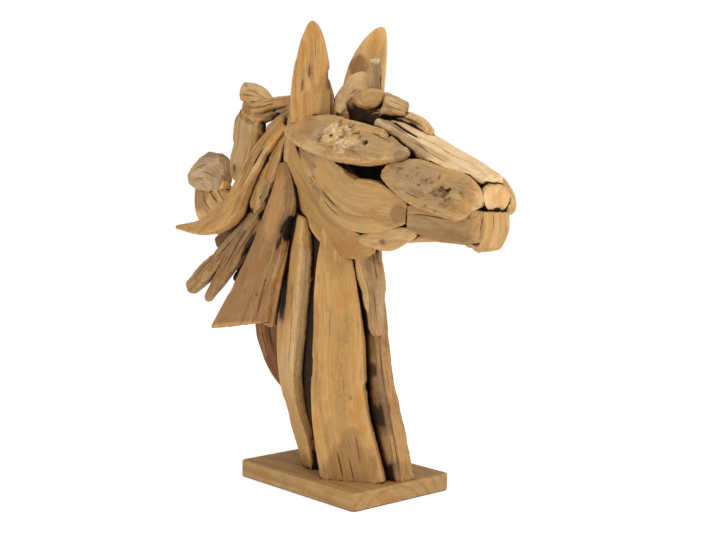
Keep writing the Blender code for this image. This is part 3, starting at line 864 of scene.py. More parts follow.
def wood_material(name, tone, seed, shade, rings, wear, cool=0.0, crusty=0.0):
    """Teak whose rings, fibres, stains, cracks and worn edges follow the piece, with painted shade where it
    is sheltered and painted highlights on its edges.
    """
    tones = bpy.context.scene.driftwood_colours
    chance = random.Random(seed)
    base = wood_base(getattr(tones, tone), shade, cool, chance)
    shader = Shader(name + "_wood")
    smooth_step = shader.smooth
    offset = [chance.uniform(0.0, 3.0) for _ in range(3)]
    grain = shader.vector_math("ADD", shader.attribute("grain"), offset)
    stain, pale, grey = shader.parts("marks")
    crack, shelter_shade, edge = shader.parts("wear")
    ring, fresh, _ = shader.parts("growth")

    streak = shader.grain_noise(grain, 3.6, 90.0, 3.0, 0.65)
    line = shader.grain_noise(grain, 1.7, 60.0, 3.0, 0.6)
    cloud = shader.grain_noise(grain, 26.0, 48.0, 2.0, 0.6)
    mottle = shader.grain_noise(grain, 3.6, 6.5, 3.0, 0.7)
    turn = 2.0 * math.pi / (rings * MM)
    wave = shader.sine(ring * turn + streak * 4.0) * 0.5 + 0.5
    late = smooth_step(wave, 0.60, 1.0)
    # how sheltered the wood is, for its painted shade and grime
    near = shelter_shade + smooth_step(mottle, 0.3, 0.7, -0.06, 0.06)
    # painted shade, with some dirt, in the joints between pieces
    joint_shade = shader.node("ShaderNodeAmbientOcclusion", {"samples": SEAM_SAMPLES}, {"Distance": SEAM},
                        OCCLUSION)

    deep = tinted(base, DEEP)
    cream = Vector(tones.cream)
    crust = smooth_step(pale, 0.45, 0.85) * smooth_step(mottle, 0.40, 0.50, 0.85, 0.0) * crusty
    coats = (
        (smooth_step(streak, 0.38, 0.58), base),
        (smooth_step(cloud, 0.50, 0.66, 0.0, 0.75), tinted(base, WARM)),
        (smooth_step(cloud, 0.32, 0.46, 0.6, 0.0), tinted(base, DULL)),
        (fresh * smooth_step(mottle, 0.3, 0.7, 1.0, 0.6), tones.orange),
        (grey * smooth_step(mottle, 0.3, 0.7, 0.95, 0.55), tones.grey),
        (pale * smooth_step(line, 0.35, 0.65, 1.0, 0.55), cream),
        (crust, tones.crust),
        (late * smooth_step(mottle, 0.35, 0.65, 0.18, 0.45), deep),
        (smooth_step(line, 0.54, 0.68, 0.0, 0.12 + 0.52 * wear), deep),
        (smooth_step(mottle, 0.57, 0.70, 0.0, 0.06 + 0.41 * wear), deep),
        # pale edges: worn, and with a painted highlight
        (edge * smooth_step(mottle, 0.36, 0.60, 0.60, 0.10), base * 0.50 + cream * 0.62),
        (stain * smooth_step(streak, 0.3, 0.7, 0.95, 0.60), tones.stain),
        # painted shade: sheltered wood gets a brown glaze and then goes near black, with some grime
        (smooth_step(near, 0.16, 0.62, 0.0, 0.85), GRIME_AND_SHADE, "MULTIPLY"),
        (smooth_step(near, 0.46, 0.82, 0.0, 0.97), tones.shadow),
        (smooth_step(joint_shade, 0.22, 0.62, 0.92, 0.0), tones.shadow),
        # painted shade: cracks, deep hollows, holes and hidden backs go near black
        (crack * 0.94, tones.shadow),
    )
    skin = base * min(SUNLIT, 1.0 / max(base))
    for share, coat, *blend in coats:
        skin = shader.mix(share, skin, coat, *blend)
    height = line * 0.7 + streak * 0.7 + mottle * 0.55 - late * 0.2
    bump = shader.node("ShaderNodeBump", {}, {"Strength": 0.22 + 0.48 * wear, "Distance": BUMP_DEPTH,
                                              "Height": height})
    return shader.finish(Base_Color=skin, Specular_IOR_Level=0.30, Normal=bump,
                         Roughness=0.56 + line * 0.16 + stain * 0.08 + grey * 0.10 + crack * 0.2)


def put_piece(name, mesh, material):
    """Shows a fine piece of wood in place of its plain solid."""
    item = bpy.data.objects.new("wood_" + name, mesh)
    bpy.context.scene.collection.objects.link(item)
    item.data.materials.append(material)
    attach(item, "root")
    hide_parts(name)


def make(*woods):
    """Makes each piece of wood."""
    for wood in woods:
        mesh = wood_mesh(wood, bpy.context.scene.driftwood_relief)
        material = wood_material(wood.name, wood.tone, wood.seed, wood.shade, wood.rings, wood.wear,
                                 wood.cool, wood.crusty)
        put_piece(wood.name, mesh, material)


# --- the head -------------------------------------------------------------------

BROW = Shape(((-36, 513, 20), (-8, 508, 42), (50, 500, 61), (105, 490, 56), (150, 483, 42),
              (190, 475, 12)),
             (-72, -50), (0.15, -0.85, 0.5))
CHEEK = Shape(((-15, 485, 15), (40, 445, 60), (100, 410, 70), (145, 405, 65), (190, 400, 30)),
              (-65, -65, -50), (0.05, -1.0, -0.05))
STRAP = Shape(((-45, 530, 25), (-45, 470, 60), (-10, 420, 70), (35, 375, 70),
               (80, 355, 50), (110, 350, 25)),
              (-55, -55, -40), ((-0.35, -0.95, 0.05), (0.05, -0.9, -0.45)))
NOSTRIL = Shape(((150, 450, 10), (185, 445, 50), (240, 430, 60), (285, 420, 50),
                 (305, 415, 20)),
                (-60, -30), (0.25, -0.9, 0.3))
JAW = Shape(((190, 395, 30), (235, 390, 50), (305, 385, 40)),
            (-50, -35), ((0.05, -1.0, -0.1), (0.35, -0.95, -0.05)))
LENS = Shape(((95, 360, 10), (145, 365, 36), (200, 375, 12)), (-50, -44), (0.1, -0.9, -0.4))


def right_head():
    make(
        Wood("right_brow_burl", "tan", *BROW, thick=24, crown=8, square=2.6, ends=(8, 8), crusty=1.0,
             notches=((-1, 0.80, 9, 5),), chips=((-0.6, 0.90, 14, 24, 2.4),),
             pits=((-0.05, 0.44, 27, 3.3), (0.15, 0.62, 22, 2.7), (-0.5, 0.56, 16, 2.2),
                   (0.3, 0.34, 14, 2.0)),
             pales=((-0.1, 0.42, 18, 18, 0.9), (0.45, 0.54, 12, 14, 0.8), (0.75, 0.33, 8, 30, 0.5),
                    (-0.35, 0.50, 8, 22, 0.7), (0.1, 0.60, 7, 16, 0.6)),
             greys=((0.1, 0.30, 17, 22, 0.75), (0.1, 0.95, 22, 16, 0.9), (0.1, 0.72, 24, 26, 0.5)),
             fresh=((-0.2, 0.14, 30, 30, 0.5),),
             stains=((0.2, 0.97, 10, 12, 0.55), (0.0, 0.16, 34, 30, 0.14)),
             knots=((0.05, 0.70, 3.0),), cracks=((-0.55, 0.70, 0.84, 1.2, 2.2),),
             auto=0, rings=9.0, wear=0.9, shade=1.04),
        Wood("right_nostril_plate", "tan", *NOSTRIL, thick=20, crown=6, ends=(6, 6),
             notches=((-1, 0.10, 18, -4), (1, 0.86, 14, -3)),
             greys=((-0.1, 0.35, 26, 44, 0.65), (0.3, 0.62, 16, 30, 0.5)),
             pits=((0.1, 0.56, 30, 2.3), (-0.3, 0.25, 22, 2.0), (0.2, 0.76, 18, 2.0)),
             knots=((-0.1, 0.64, 2.8), (0.25, 0.60, 2.2), (0.1, 0.42, 1.6)),
             stains=((0.1, 0.62, 7, 12, 0.6), (-0.1, 0.46, 5, 9, 0.5), (0.3, 0.74, 5, 9, 0.5),
                     (0.45, 0.45, 6, 14, 0.35)),
             fresh=((-0.35, 0.93, 30, 14, 0.85), (-0.9, 0.6, 6, 60, 0.5)),
             pales=((-0.2, 0.97, 26, 8, 0.7),),
             cracks=((0.62, 0.30, 0.50, 0.7, 1.2), (0.05, 0.60, 0.66, 1.2, 1.6)),
             rings=8.0, wear=0.7, auto=0, soft=(0, 12)),
        Wood("right_jaw_plank", "tan", *JAW, thick=20, crown=4, square=4,
             stains=((0.75, 0.45, 12, 70, 0.35),), cracks=((-0.25, 0.05, 0.6, 0.9, 1.4),),
             fresh=((0.0, 0.97, 26, 8, 0.6),), rings=4.5, wear=0.5, auto=1, shade=0.82, soft=(0, 6)),
        Wood("right_cheek_board", "golden", *CHEEK, thick=22, crown=6, ends=(8, 0),
             notches=((-1, 0.26, 24, -5), (-1, 0.52, 26, 3)),
             chips=((0.65, 0.30, 16, 22, 1.8), (0.2, 0.12, 26, 26, 1.4)),
             cracks=((0.42, 0.34, 0.52, 1.3, 2.2), (0.68, 0.38, 0.56, 0.9, 1.5)),
             stains=((0.1, 0.95, 15, 14, 0.62), (0.75, 0.30, 9, 16, 0.55), (-0.1, 0.10, 26, 26, 0.20)),
             fresh=((-0.2, 0.28, 22, 30, 0.7), (-0.1, 0.14, 26, 28, 0.6)),
             rings=11.0, wear=0.6, auto=0, shade=0.90, cool=0.08),
        Wood("right_jaw_lens", "tan", *LENS, thick=18, crown=6, square=2.4, ends=(6, 6),
             knots=((0.15, 0.45, 2.2),), stains=((0.15, 0.45, 7, 9, 0.4),), shade=1.05, wear=0.5, auto=0),
        Wood("right_cheek_strap", "golden", *STRAP, thick=26, crown=5, ends=(0, 8),
             pales=((0.3, 0.14, 18, 46, 0.55), (0.85, 0.45, 6, 90, 0.6)),
             stains=((-0.42, 0.58, 6, 80, 0.35),),
             rings=19.0, wear=0.15, auto=0, shade=0.85, cool=-0.12),
    )


def muzzle():
    make(
        Wood("nose_bridge_plank", "cream",
             ((98, 518, 52), (185, 480, 70), (250, 454, 66), (300, 440, 34)),
             (0, -2), (0.35, -0.05, 0.95), thick=18, crown=11, square=2.8, ends=(0, 5),
             cracks=((0.36, 0.02, 0.40, 2.8, 5.0), (0.62, 0.05, 0.55, 1.3, 2.6), (0.1, 0.3, 0.7, 0.8, 1.2),
                     (0.78, 0.35, 0.75, 1.0, 1.8)),
             stains=((0.90, 0.36, 12, 60, 0.70), (0.46, 0.12, 8, 34, 0.6), (0.6, 0.6, 6, 30, 0.3)),
             greys=((0.7, 0.15, 20, 30, 0.6),), fresh=((0.75, 0.55, 12, 50, 0.3),),
             shade=1.30, cool=0.36, wear=0.7, auto=1, crisp=1.2, soft=(0, 10)),
        Wood("nose_tip_block", "cream", ((301, 440, 36), (305, 425, 46), (303, 402, 42)),
             (-6, -5), (1.0, 0.0, 0.2), thick=34, crown=3, square=3.6, wear=0.3, auto=0,
             shade=0.94, crisp=0.3, soft=(17, 19)),
        Wood("chin_block", "golden", ((303, 404, 52), (303, 385, 52), (292, 353, 44)),
             (-8, -8), (1.0, 0.05, -0.1), thick=44, crown=4, square=4, ends=(0, 5),
             stains=((0.97, 0.3, 5, 40, 0.5), (0.2, 0.97, 24, 7, 0.35)), pales=((-0.2, 0.5, 12, 50, 0.35),),
             cracks=((0.2, 0.02, 0.5, 0.7, 1.0),), shade=1.09, rings=3.0, wear=0.7, auto=1, soft=(4, 8)),
        Wood("chin_underside_board", "golden", ((150, 360, 56), (205, 366, 66), (268, 362, 56)),
             (-2, -4), (0.0, -0.05, -1.0), thick=14, crown=3, ends=(5, 0)),
    )


def left_head():
    make(
        Wood("left_brow_board", "tan",
             ((-36, 516, 20), (-6, 514, 44), (38, 507, 60), (85, 490, 52), (130, 476, 40), (160, 470, 16)),
             (70, 50), flipped(BROW.out), thick=24, crown=6, square=3, ends=(8, 8),
             greys=((0, 0.6, 26, 40, 0.5),), shade_and_blotches=((0.9, 0.42, 26, 90, 1.0),)),
        Wood("left_nostril_plate", "cream", *mirrored(NOSTRIL, 0, 0.98, 4),
             thick=20, crown=5, ends=(6, 6), shade=0.85),
        Wood("left_jaw_plank", "tan", ((190, 396, 28), (240, 389, 42), (286, 386, 40)),
             (42, 26), flipped(JAW.out), thick=20, crown=3, square=4, wear=0.6),
        Wood("left_cheek_board", "golden", *mirrored(CHEEK, 2, 1.0, 3),
             thick=22, crown=5, ends=(8, 0), cracks=((-0.2, 0.3, 0.7, 1.0, 1.8),), wear=0.8,
             shade_and_blotches=((0.0, 0.2, 70, 90, 1.0),)),
        Wood("left_jaw_lens", "tan", *mirrored(LENS, 12, 0.8, 10),
             thick=18, crown=4, square=2.4, ends=(6, 6), auto=1),
        Wood("left_cheek_strap", "golden",
             ((-41, 530, 24), (-44, 475, 55), (-8, 424, 66), (50, 380, 46), (88, 376, 24)),
             (52, 56, 40), flipped(STRAP.out), thick=26, crown=4, ends=(0, 8), wear=0.6,
             shade_and_blotches=((0.0, 0.45, 70, 70, 1.0),)),
    )


def ears():
    make(
        Wood("right_ear", "golden",
             ((-5, 518, 56), (0, 565, 54), (8, 610, 43), (12, 638, 28), (15, EAR_TIP, 11)),
             (-54, -65), (0.7, -0.7, -0.15), thick=15, crown=4, square=2.8, ends=(0, 4),
             cracks=((-0.12, 0.44, 0.58, 0.9, 1.4), (-0.42, 0.30, 0.44, 0.8, 1.2),
                     (0.2, 0.62, 0.86, 0.5, 0.8)),
             chips=((0.9, 0.44, 6, 16, 2.2), (-0.3, 0.40, 9, 14, 0.9)),
             stains=((0.80, 0.16, 9, 44, 0.50), (-0.1, 0.53, 4, 12, 0.5), (-0.42, 0.38, 4, 9, 0.5)),
             fresh=((0.3, 0.62, 12, 40, 0.35),), wear=0.5, rings=6.0, auto=0, shade=0.93, soft=(0, 12)),
        Wood("left_ear", "golden",
             ((-10, 506, 54), (-13, 575, 60), (-5, 610, 50), (7, 640, 30), (14, EAR_TIP, 12)),
             (47, 65), (0.6, -0.75, -0.1), thick=15, crown=4, square=2.8, ends=(0, 4),
             stains=((-0.42, 0.60, 15, 17, 0.80),),
             fresh=((-0.42, 0.60, 18, 20, 0.9), (0.1, 0.78, 22, 50, 0.25)),
             rot_and_shade_holes=((0.0, 0.0, 60, 50, 1.0),), shade=1.22, cool=0.32, wear=0.3, rings=6.0, auto=1,
             soft=(0, 12)),
        Wood("right_ear_wedge", "brown", ((2, 525, 26), (4, 550, 20), (5, 580, 8)),
             (-27, -33), (0.65, -0.75, 0.0), thick=14, crown=3, ends=(0, 3), shade=0.75, auto=1),
    )


def forelock():
    make(
        Wood("forelock_log", "golden", ((77, 550, 22), (88, 550, 28), (97, 548, 25)),
             (-42, -4), (0.8, -0.45, 0.35), thick=17, crown=9, square=2.2, ends=(10, 0),
             stains=((0.7, 0.6, 6, 20, 0.3),), greys=((0.1, 0.4, 10, 16, 0.4),),
             shade=0.86, auto=1, wear=0.8, soft=(14, 5)),
        Wood("forelock_stub", "tan", ((65, 545, 24), (65, 580, 20), (64, 606, 17)),
             (6, 6), (0.7, -0.7, 0.1), thick=16, crown=4, square=2.8, ragged=(0.6, 3.5),
             notches=((1, 0.88, 8, 1.5),),
             pales=((0, 1.0, 14, 8, 0.9), (-0.7, 0.7, 5, 24, 0.5)), greys=((0, 0.55, 12, 22, 0.4),),
             stains=((0.4, 0.5, 4, 16, 0.4),), wear=0.9, shade=0.57, crusty=0.5, auto=1),
        # painted light: the root is made paler, to make up for the shadow that the log and the block cast on
        # it
        Wood("forelock_root", "tan", ((7, 534, 18), (10, 553, 25), (33, 572, 32), (60, 566, 30)),
             (-19, 0, 16), (0.7, -0.65, 0.25), thick=18, crown=7, square=2.3, ends=(3, 6),
             notches=((1, 0.30, 12, 4), (-1, 0.62, 12, -3)),
             pales=((-0.1, 0.25, 24, 44, 0.95), (-0.3, 0.6, 16, 30, 0.8)),
             stains=((0.9, 0.60, 5, 14, 0.3),), cracks=((0.35, 0.40, 0.6, 0.8, 1.4),), shade=1.7, clean=1.0,
             crusty=0.5, wear=0.5, rings=14.0),
        Wood("forelock_block", "brown", ((105, 543, 34), (127, 533, 20)),
             (-17, 8), (0.8, -0.5, 0.25), thick=22, crown=5, square=2.8, ends=(0, 4),
             cracks=((0.3, 0.05, 0.9, 0.8, 1.2), (-0.3, 0.1, 0.8, 0.6, 1.0)),
             pales=((-0.4, 0.4, 9, 16, 0.55), (0.3, 0.7, 7, 12, 0.4)), stains=((0.8, 0.5, 5, 16, 0.6),),
             shade=1.36, cool=0.40, crusty=0.25, rings=3.2, auto=1, ragged=(1.0, 1.8)),
        Wood("forelock_knob", "golden", ((104, 527, 14), (138, 519, 20), (167, 501, 11)),
             (4, 14, 16), (0.35, -0.55, 0.75), thick=14, crown=6, square=2.2, ends=(4, 7),
             pales=((0.0, 0.55, 14, 36, 0.95),), stains=((0.85, 0.4, 5, 26, 0.8),), clean=0.4,
             cracks=((0.55, 0.1, 0.85, 1.4, 3.0),), shade=1.18, cool=0.12, crusty=0.25, wear=1.2),
    )


# --- the mane -------------------------------------------------------------------

def crest():
    make(
        Wood("mane_fin", "golden", ((-130, 552, 10), (-175, 567, 30), (-218, 573, 33)),
             (-28, -21), (-0.1, -1.0, 0.1), thick=18, crown=5, square=2.4, ends=(4, 10),
             pales=((0.5, 0.6, 9, 36, 0.9), (0.0, 0.7, 12, 30, 0.4)), stains=((-0.5, 0.8, 7, 24, 0.35),),
             cracks=((0.2, 0.3, 0.8, 0.8, 1.4), (-0.3, 0.4, 0.9, 0.7, 1.2)), shade=1.18, cool=0.35,
             wear=0.8, soft=(0, 14)),
        Wood("mane_branch", "golden", ((-50, 551, 22), (-110, 546, 27), (-165, 541, 32), (-208, 546, 20)),
             (-40, -24), (-0.15, -0.95, 0.2), thick=24, crown=6, square=2.3, ends=(0, 8),
             cracks=((-0.45, 0.08, 0.66, 2.6, 5.0), (0.2, 0.3, 0.9, 0.9, 1.6), (0.55, 0.1, 0.6, 0.7, 1.2)),
             stains=((-0.6, 0.4, 7, 60, 0.7), (-0.1, 0.85, 10, 20, 0.5)),
             pales=((0.6, 0.4, 6, 50, 0.4),), shade=0.95, wear=1.2),
        Wood("mane_horn", "golden",
             ((-62, 522, 24), (-107, 484, 33), (-138, 440, 38), (-166, 397, 45), (-225, 368, 27),
              (-298, 363, 5)),
             (-54, -73, -90), (-0.05, -0.95, 0.25), thick=22, crown=7, square=2.4, ends=(0, 4),
             cracks=((-0.45, 0.12, 0.42, 1.4, 2.6), (0.1, 0.25, 0.50, 0.7, 1.2),
                     (-0.1, 0.03, 0.25, 1.0, 1.8), (0.45, 0.1, 0.40, 1.1, 2.0),
                     (-0.25, 0.45, 0.70, 0.5, 0.8)),
             notches=((-1, 0.20, 16, 1.0), (1, 0.28, 12, 2)),
             chips=((-0.3, 0.20, 9, 24, 1.3), (0.1, 0.40, 8, 20, 1.2)),
             stains=((0.6, 0.14, 6, 30, 0.6), (-0.8, 0.42, 6, 40, 0.5), (0.3, 0.30, 5, 22, 0.4)),
             pales=((-0.6, 0.3, 7, 30, 0.5),), fresh=((0.1, 0.55, 12, 50, 0.5), (0.2, 0.97, 8, 20, 0.8)),
             shade=1.02, rings=9.0, wear=0.5, auto=0),
        Wood("mane_long_strip", "golden", ((-66, 514, 24), (-90, 470, 46), (-103, 430, 49), (-126, 391, 16)),
             (-52, -69), (-0.1, -1.0, 0.15), thick=20, crown=4, ends=(0, 6),
             notches=((-1, 0.62, 10, 4), (1, 0.50, 12, 3)),
             chips=((0.4, 0.35, 9, 20, 2.2), (-0.6, 0.70, 10, 18, 1.8)),
             cracks=((0.3, 0.15, 0.5, 1.4, 2.6), (-0.2, 0.4, 0.8, 0.8, 1.6)),
             knots=((0.0, 0.40, 2.6),),
             stains=((0.3, 0.36, 8, 22, 0.6), (-0.1, 0.25, 8, 14, 0.45)),
             pales=((-0.2, 0.75, 12, 24, 0.4),), rot_and_shade_holes=((0.2, 1.0, 16, 9, 1.0), (0.75, 0.45, 5, 26, 0.9)),
             ragged=(1.0, 3.0), wear=0.9, shade=0.84),
        Wood("mane_short_strip", "tan", ((-52, 540, 24), (-84, 522, 28), (-118, 505, 26)),
             (-40, -44), (-0.15, -0.95, 0.2), thick=16, crown=4, square=2.4, ends=(0, 5),
             cracks=((0.1, 0.1, 0.8, 1.2, 2.2),), stains=((-0.4, 0.5, 8, 30, 0.6),), auto=1, wear=1.2),
        Wood("mane_shoulder_slab", "golden",
             ((-181, 547, 66), (-190, 520, 82), (-195, 485, 71), (-206, 455, 54), (-200, 438, 16)),
             (-28, -37), (-0.15, -1.0, 0.1), thick=24, crown=6, square=2.8, ends=(0, 6),
             notches=((1, 0.12, 9, 4), (1, 0.50, 14, 4)),
             chips=((0.5, 0.03, 22, 14, 3.2), (-0.4, 0.10, 20, 12, 2.6), (0.9, 0.3, 7, 22, 2.0)),
             greys=((-0.25, 0.30, 13, 22, 0.95), (0.1, 0.55, 40, 60, 0.45)), knots=((0.05, 0.84, 3.6),),
             pales=((0.55, 0.08, 12, 9, 0.85), (-0.55, 0.13, 14, 7, 0.8), (0.85, 0.5, 7, 40, 0.5)),
             stains=((0.15, 0.88, 14, 10, 0.45), (-0.85, 0.5, 8, 50, 0.45), (0.1, 0.16, 24, 5, 0.5)),
             cracks=((0.35, 0.15, 0.7, 0.8, 1.4), (-0.55, 0.3, 0.8, 0.7, 1.2)),
             wear=1.1, shade=1.12, cool=0.28, crisp=1.2, soft=(8, 0)),
    )


def tresses():
    make(
        Wood("mane_fist_cap", "grey",
             ((-338, 438, 16), (-317, 441, 42), (-292, 447, 58), (-272, 448, 66), (-256, 443, 50),
              (-243, 437, 28)),
             (-38, -37), (-0.1, -1.0, 0.05), thick=30, crown=10, square=2.4, ends=(3, 4),
             ragged=(1.0, 1.6), steps=1.3, notches=((-1, 0.30, 8, 2), (-1, 0.66, 6, 3)),
             pales=((0.1, 0.35, 22, 26, 0.40), (0.6, 0.7, 14, 16, 0.4)),
             stains=((-0.9, 0.62, 8, 22, 0.5), (-0.2, 0.85, 10, 14, 0.3)),
             cracks=((0.3, 0.25, 0.6, 0.9, 1.5), (-0.35, 0.2, 0.7, 1.0, 1.8), (0.0, 0.5, 0.9, 0.8, 1.4)),
             wear=1.2, shade=1.3, auto=0, crisp=1.0),
        Wood("mane_fist_stem", "golden",
             ((-287, 434, 88), (-284, 410, 90), (-262, 388, 74), (-205, 385, 52), (-130, 408, 40)),
             (-33, -34, -22), (-0.1, -1.0, 0.2), thick=24, crown=4, square=2.5,
             stains=((0.5, 0.10, 34, 14, 0.75), (-0.35, 0.14, 9, 20, 0.5), (0.35, 0.16, 7, 16, 0.5)),
             cracks=((-0.25, 0.02, 0.3, 1.4, 2.6), (0.2, 0.0, 0.26, 1.1, 2.0), (-0.6, 0.05, 0.4, 1.0, 1.8)),
             greys=((0.0, 0.3, 50, 40, 0.45),), fresh=((0.2, 0.42, 26, 20, 0.4),),
             shade=1.55, cool=0.15, wear=1.1, clean=0.5),
        Wood("mane_edge_sliver", "brown", ((-47, 356, 8), (-59, 305, 13), (-72, 229, 14)),
             (-62, -79), (0.5, -0.85, 0.0), thick=16, crown=2, square=4, shade=1.1, auto=0),
        Wood("mane_broad_board", "brown",
             ((-60, 464, 18), (-52, 415, 50), (-74, 348, 60), (-100, 290, 74), (-129, 226, 106)),
             (-60, -91), (0.1, -1.0, 0.1), thick=14, crown=3, square=4.5, slant=(0, 34),
             notches=((-1, 0.36, 26, 4),), rot_and_shade_holes=((-0.42, 0.35, 10, 20, 1.0), (-0.38, 0.45, 5, 14, 0.9)),
             cracks=((-0.62, 0.66, 0.995, 1.3, 2.2), (-0.35, 0.74, 0.92, 0.6, 1.0),
                     (-0.40, 0.48, 0.60, 1.0, 1.6)),
             knots=((-0.42, 0.70, 1.6), (-0.30, 0.80, 1.5)),
             stains=((-0.42, 0.36, 16, 34, 0.7), (-0.45, 0.52, 6, 22, 0.6), (-0.3, 0.18, 10, 24, 0.45)),
             fresh=((0.1, 0.25, 26, 60, 0.55), (0.1, 0.995, 60, 5, 0.9)),
             greys=((-0.1, 0.90, 28, 20, 0.15),), wear=0.4, rings=16.0, shade=1.02, cool=-0.10),
        Wood("mane_long_twig", "brown", ((-130, 395, 24), (-205, 330, 24), (-268, 282, 27), (-293, 265, 22)),
             (-54, -66, -72), (0.05, -1.0, 0.05), thick=18, crown=6, square=2.4, ends=(0, 9),
             cracks=((-0.2, 0.1, 0.6, 1.1, 2.0), (0.3, 0.5, 0.95, 0.8, 1.4)),
             fresh=((0.1, 0.88, 9, 30, 0.55),), stains=((-0.6, 0.4, 6, 50, 0.6),),
             greys=((0.0, 0.3, 16, 60, 0.5),), ragged=(0.6, 1.6), wear=1.0, shade=1.05),
        Wood("mane_fork_twig", "brown", ((-118, 400, 40), (-150, 363, 43), (-205, 300, 26), (-254, 251, 11)),
             (-48, -60, -64), (0.0, -1.0, 0.05), thick=18, crown=5, square=2.4, ends=(0, 4),
             cracks=((0.0, 0.1, 0.7, 1.4, 2.6), (0.5, 0.05, 0.5, 1.0, 1.8), (-0.5, 0.1, 0.5, 1.0, 1.8)),
             fresh=((-0.1, 0.85, 7, 30, 0.4),), stains=((0.3, 0.25, 9, 26, 0.5),),
             rot_and_shade_holes=((-0.4, 0.03, 22, 16, 1.0), (-0.9, 0.30, 6, 30, 0.9)),
             greys=((0.2, 0.3, 16, 50, 0.5),), wear=1.1, shade=0.95),
        # painted shade: this stick is darkened to fill the dark gap between the fork twig and the board
        Wood("mane_shadow_stick", "red", ((-128, 392, 22), (-162, 338, 20), (-200, 282, 16)),
             (-40, -46), (0.0, -1.0, 0.05), thick=14, crown=4, square=2.2, ends=(0, 5), shade=0.25),
        Wood("mane_under_chip", "brown", ((-170, 372, 30), (-216, 353, 28), (-244, 339, 16)),
             (-46, -51), (0.0, -1.0, 0.05), thick=14, crown=4, ends=(0, 5), shade=0.6),
    )


def left_mane():
    make(
        Wood("left_mane_board", "brown", ((-48, 462, 30), (-62, 400, 64), (-90, 320, 78), (-122, 232, 80)),
             (60, 82), (0.0, 1.0, 0.1), thick=18, crown=3, square=4),
        Wood("left_mane_horn", "golden",
             ((-60, 522, 26), (-104, 482, 40), (-132, 438, 44), (-172, 402, 34), (-214, 384, 14)),
             (52, 76), (-0.1, 0.95, 0.25), thick=24, crown=6, square=2.4, ends=(0, 4)),
        Wood("left_mane_strip", "tan", ((-56, 500, 28), (-84, 450, 44), (-104, 400, 38), (-136, 356, 16)),
             (56, 64), (-0.1, 1.0, 0.15), thick=20, crown=4, ends=(0, 6)),
        Wood("left_mane_twig", "brown", ((-112, 386, 34), (-150, 344, 34), (-214, 272, 14)),
             (50, 62), (0.0, 1.0, 0.05), thick=18, crown=5, square=2.4, ends=(0, 6)),
        Wood("left_mane_slab", "golden", ((-90, 545, 40), (-130, 520, 60), (-160, 480, 62), (-172, 440, 40)),
             (28, 26), (-0.15, 0.95, 0.15), thick=22, crown=5, square=2.8, ends=(0, 6)),
    )


# --- the neck -------------------------------------------------------------------

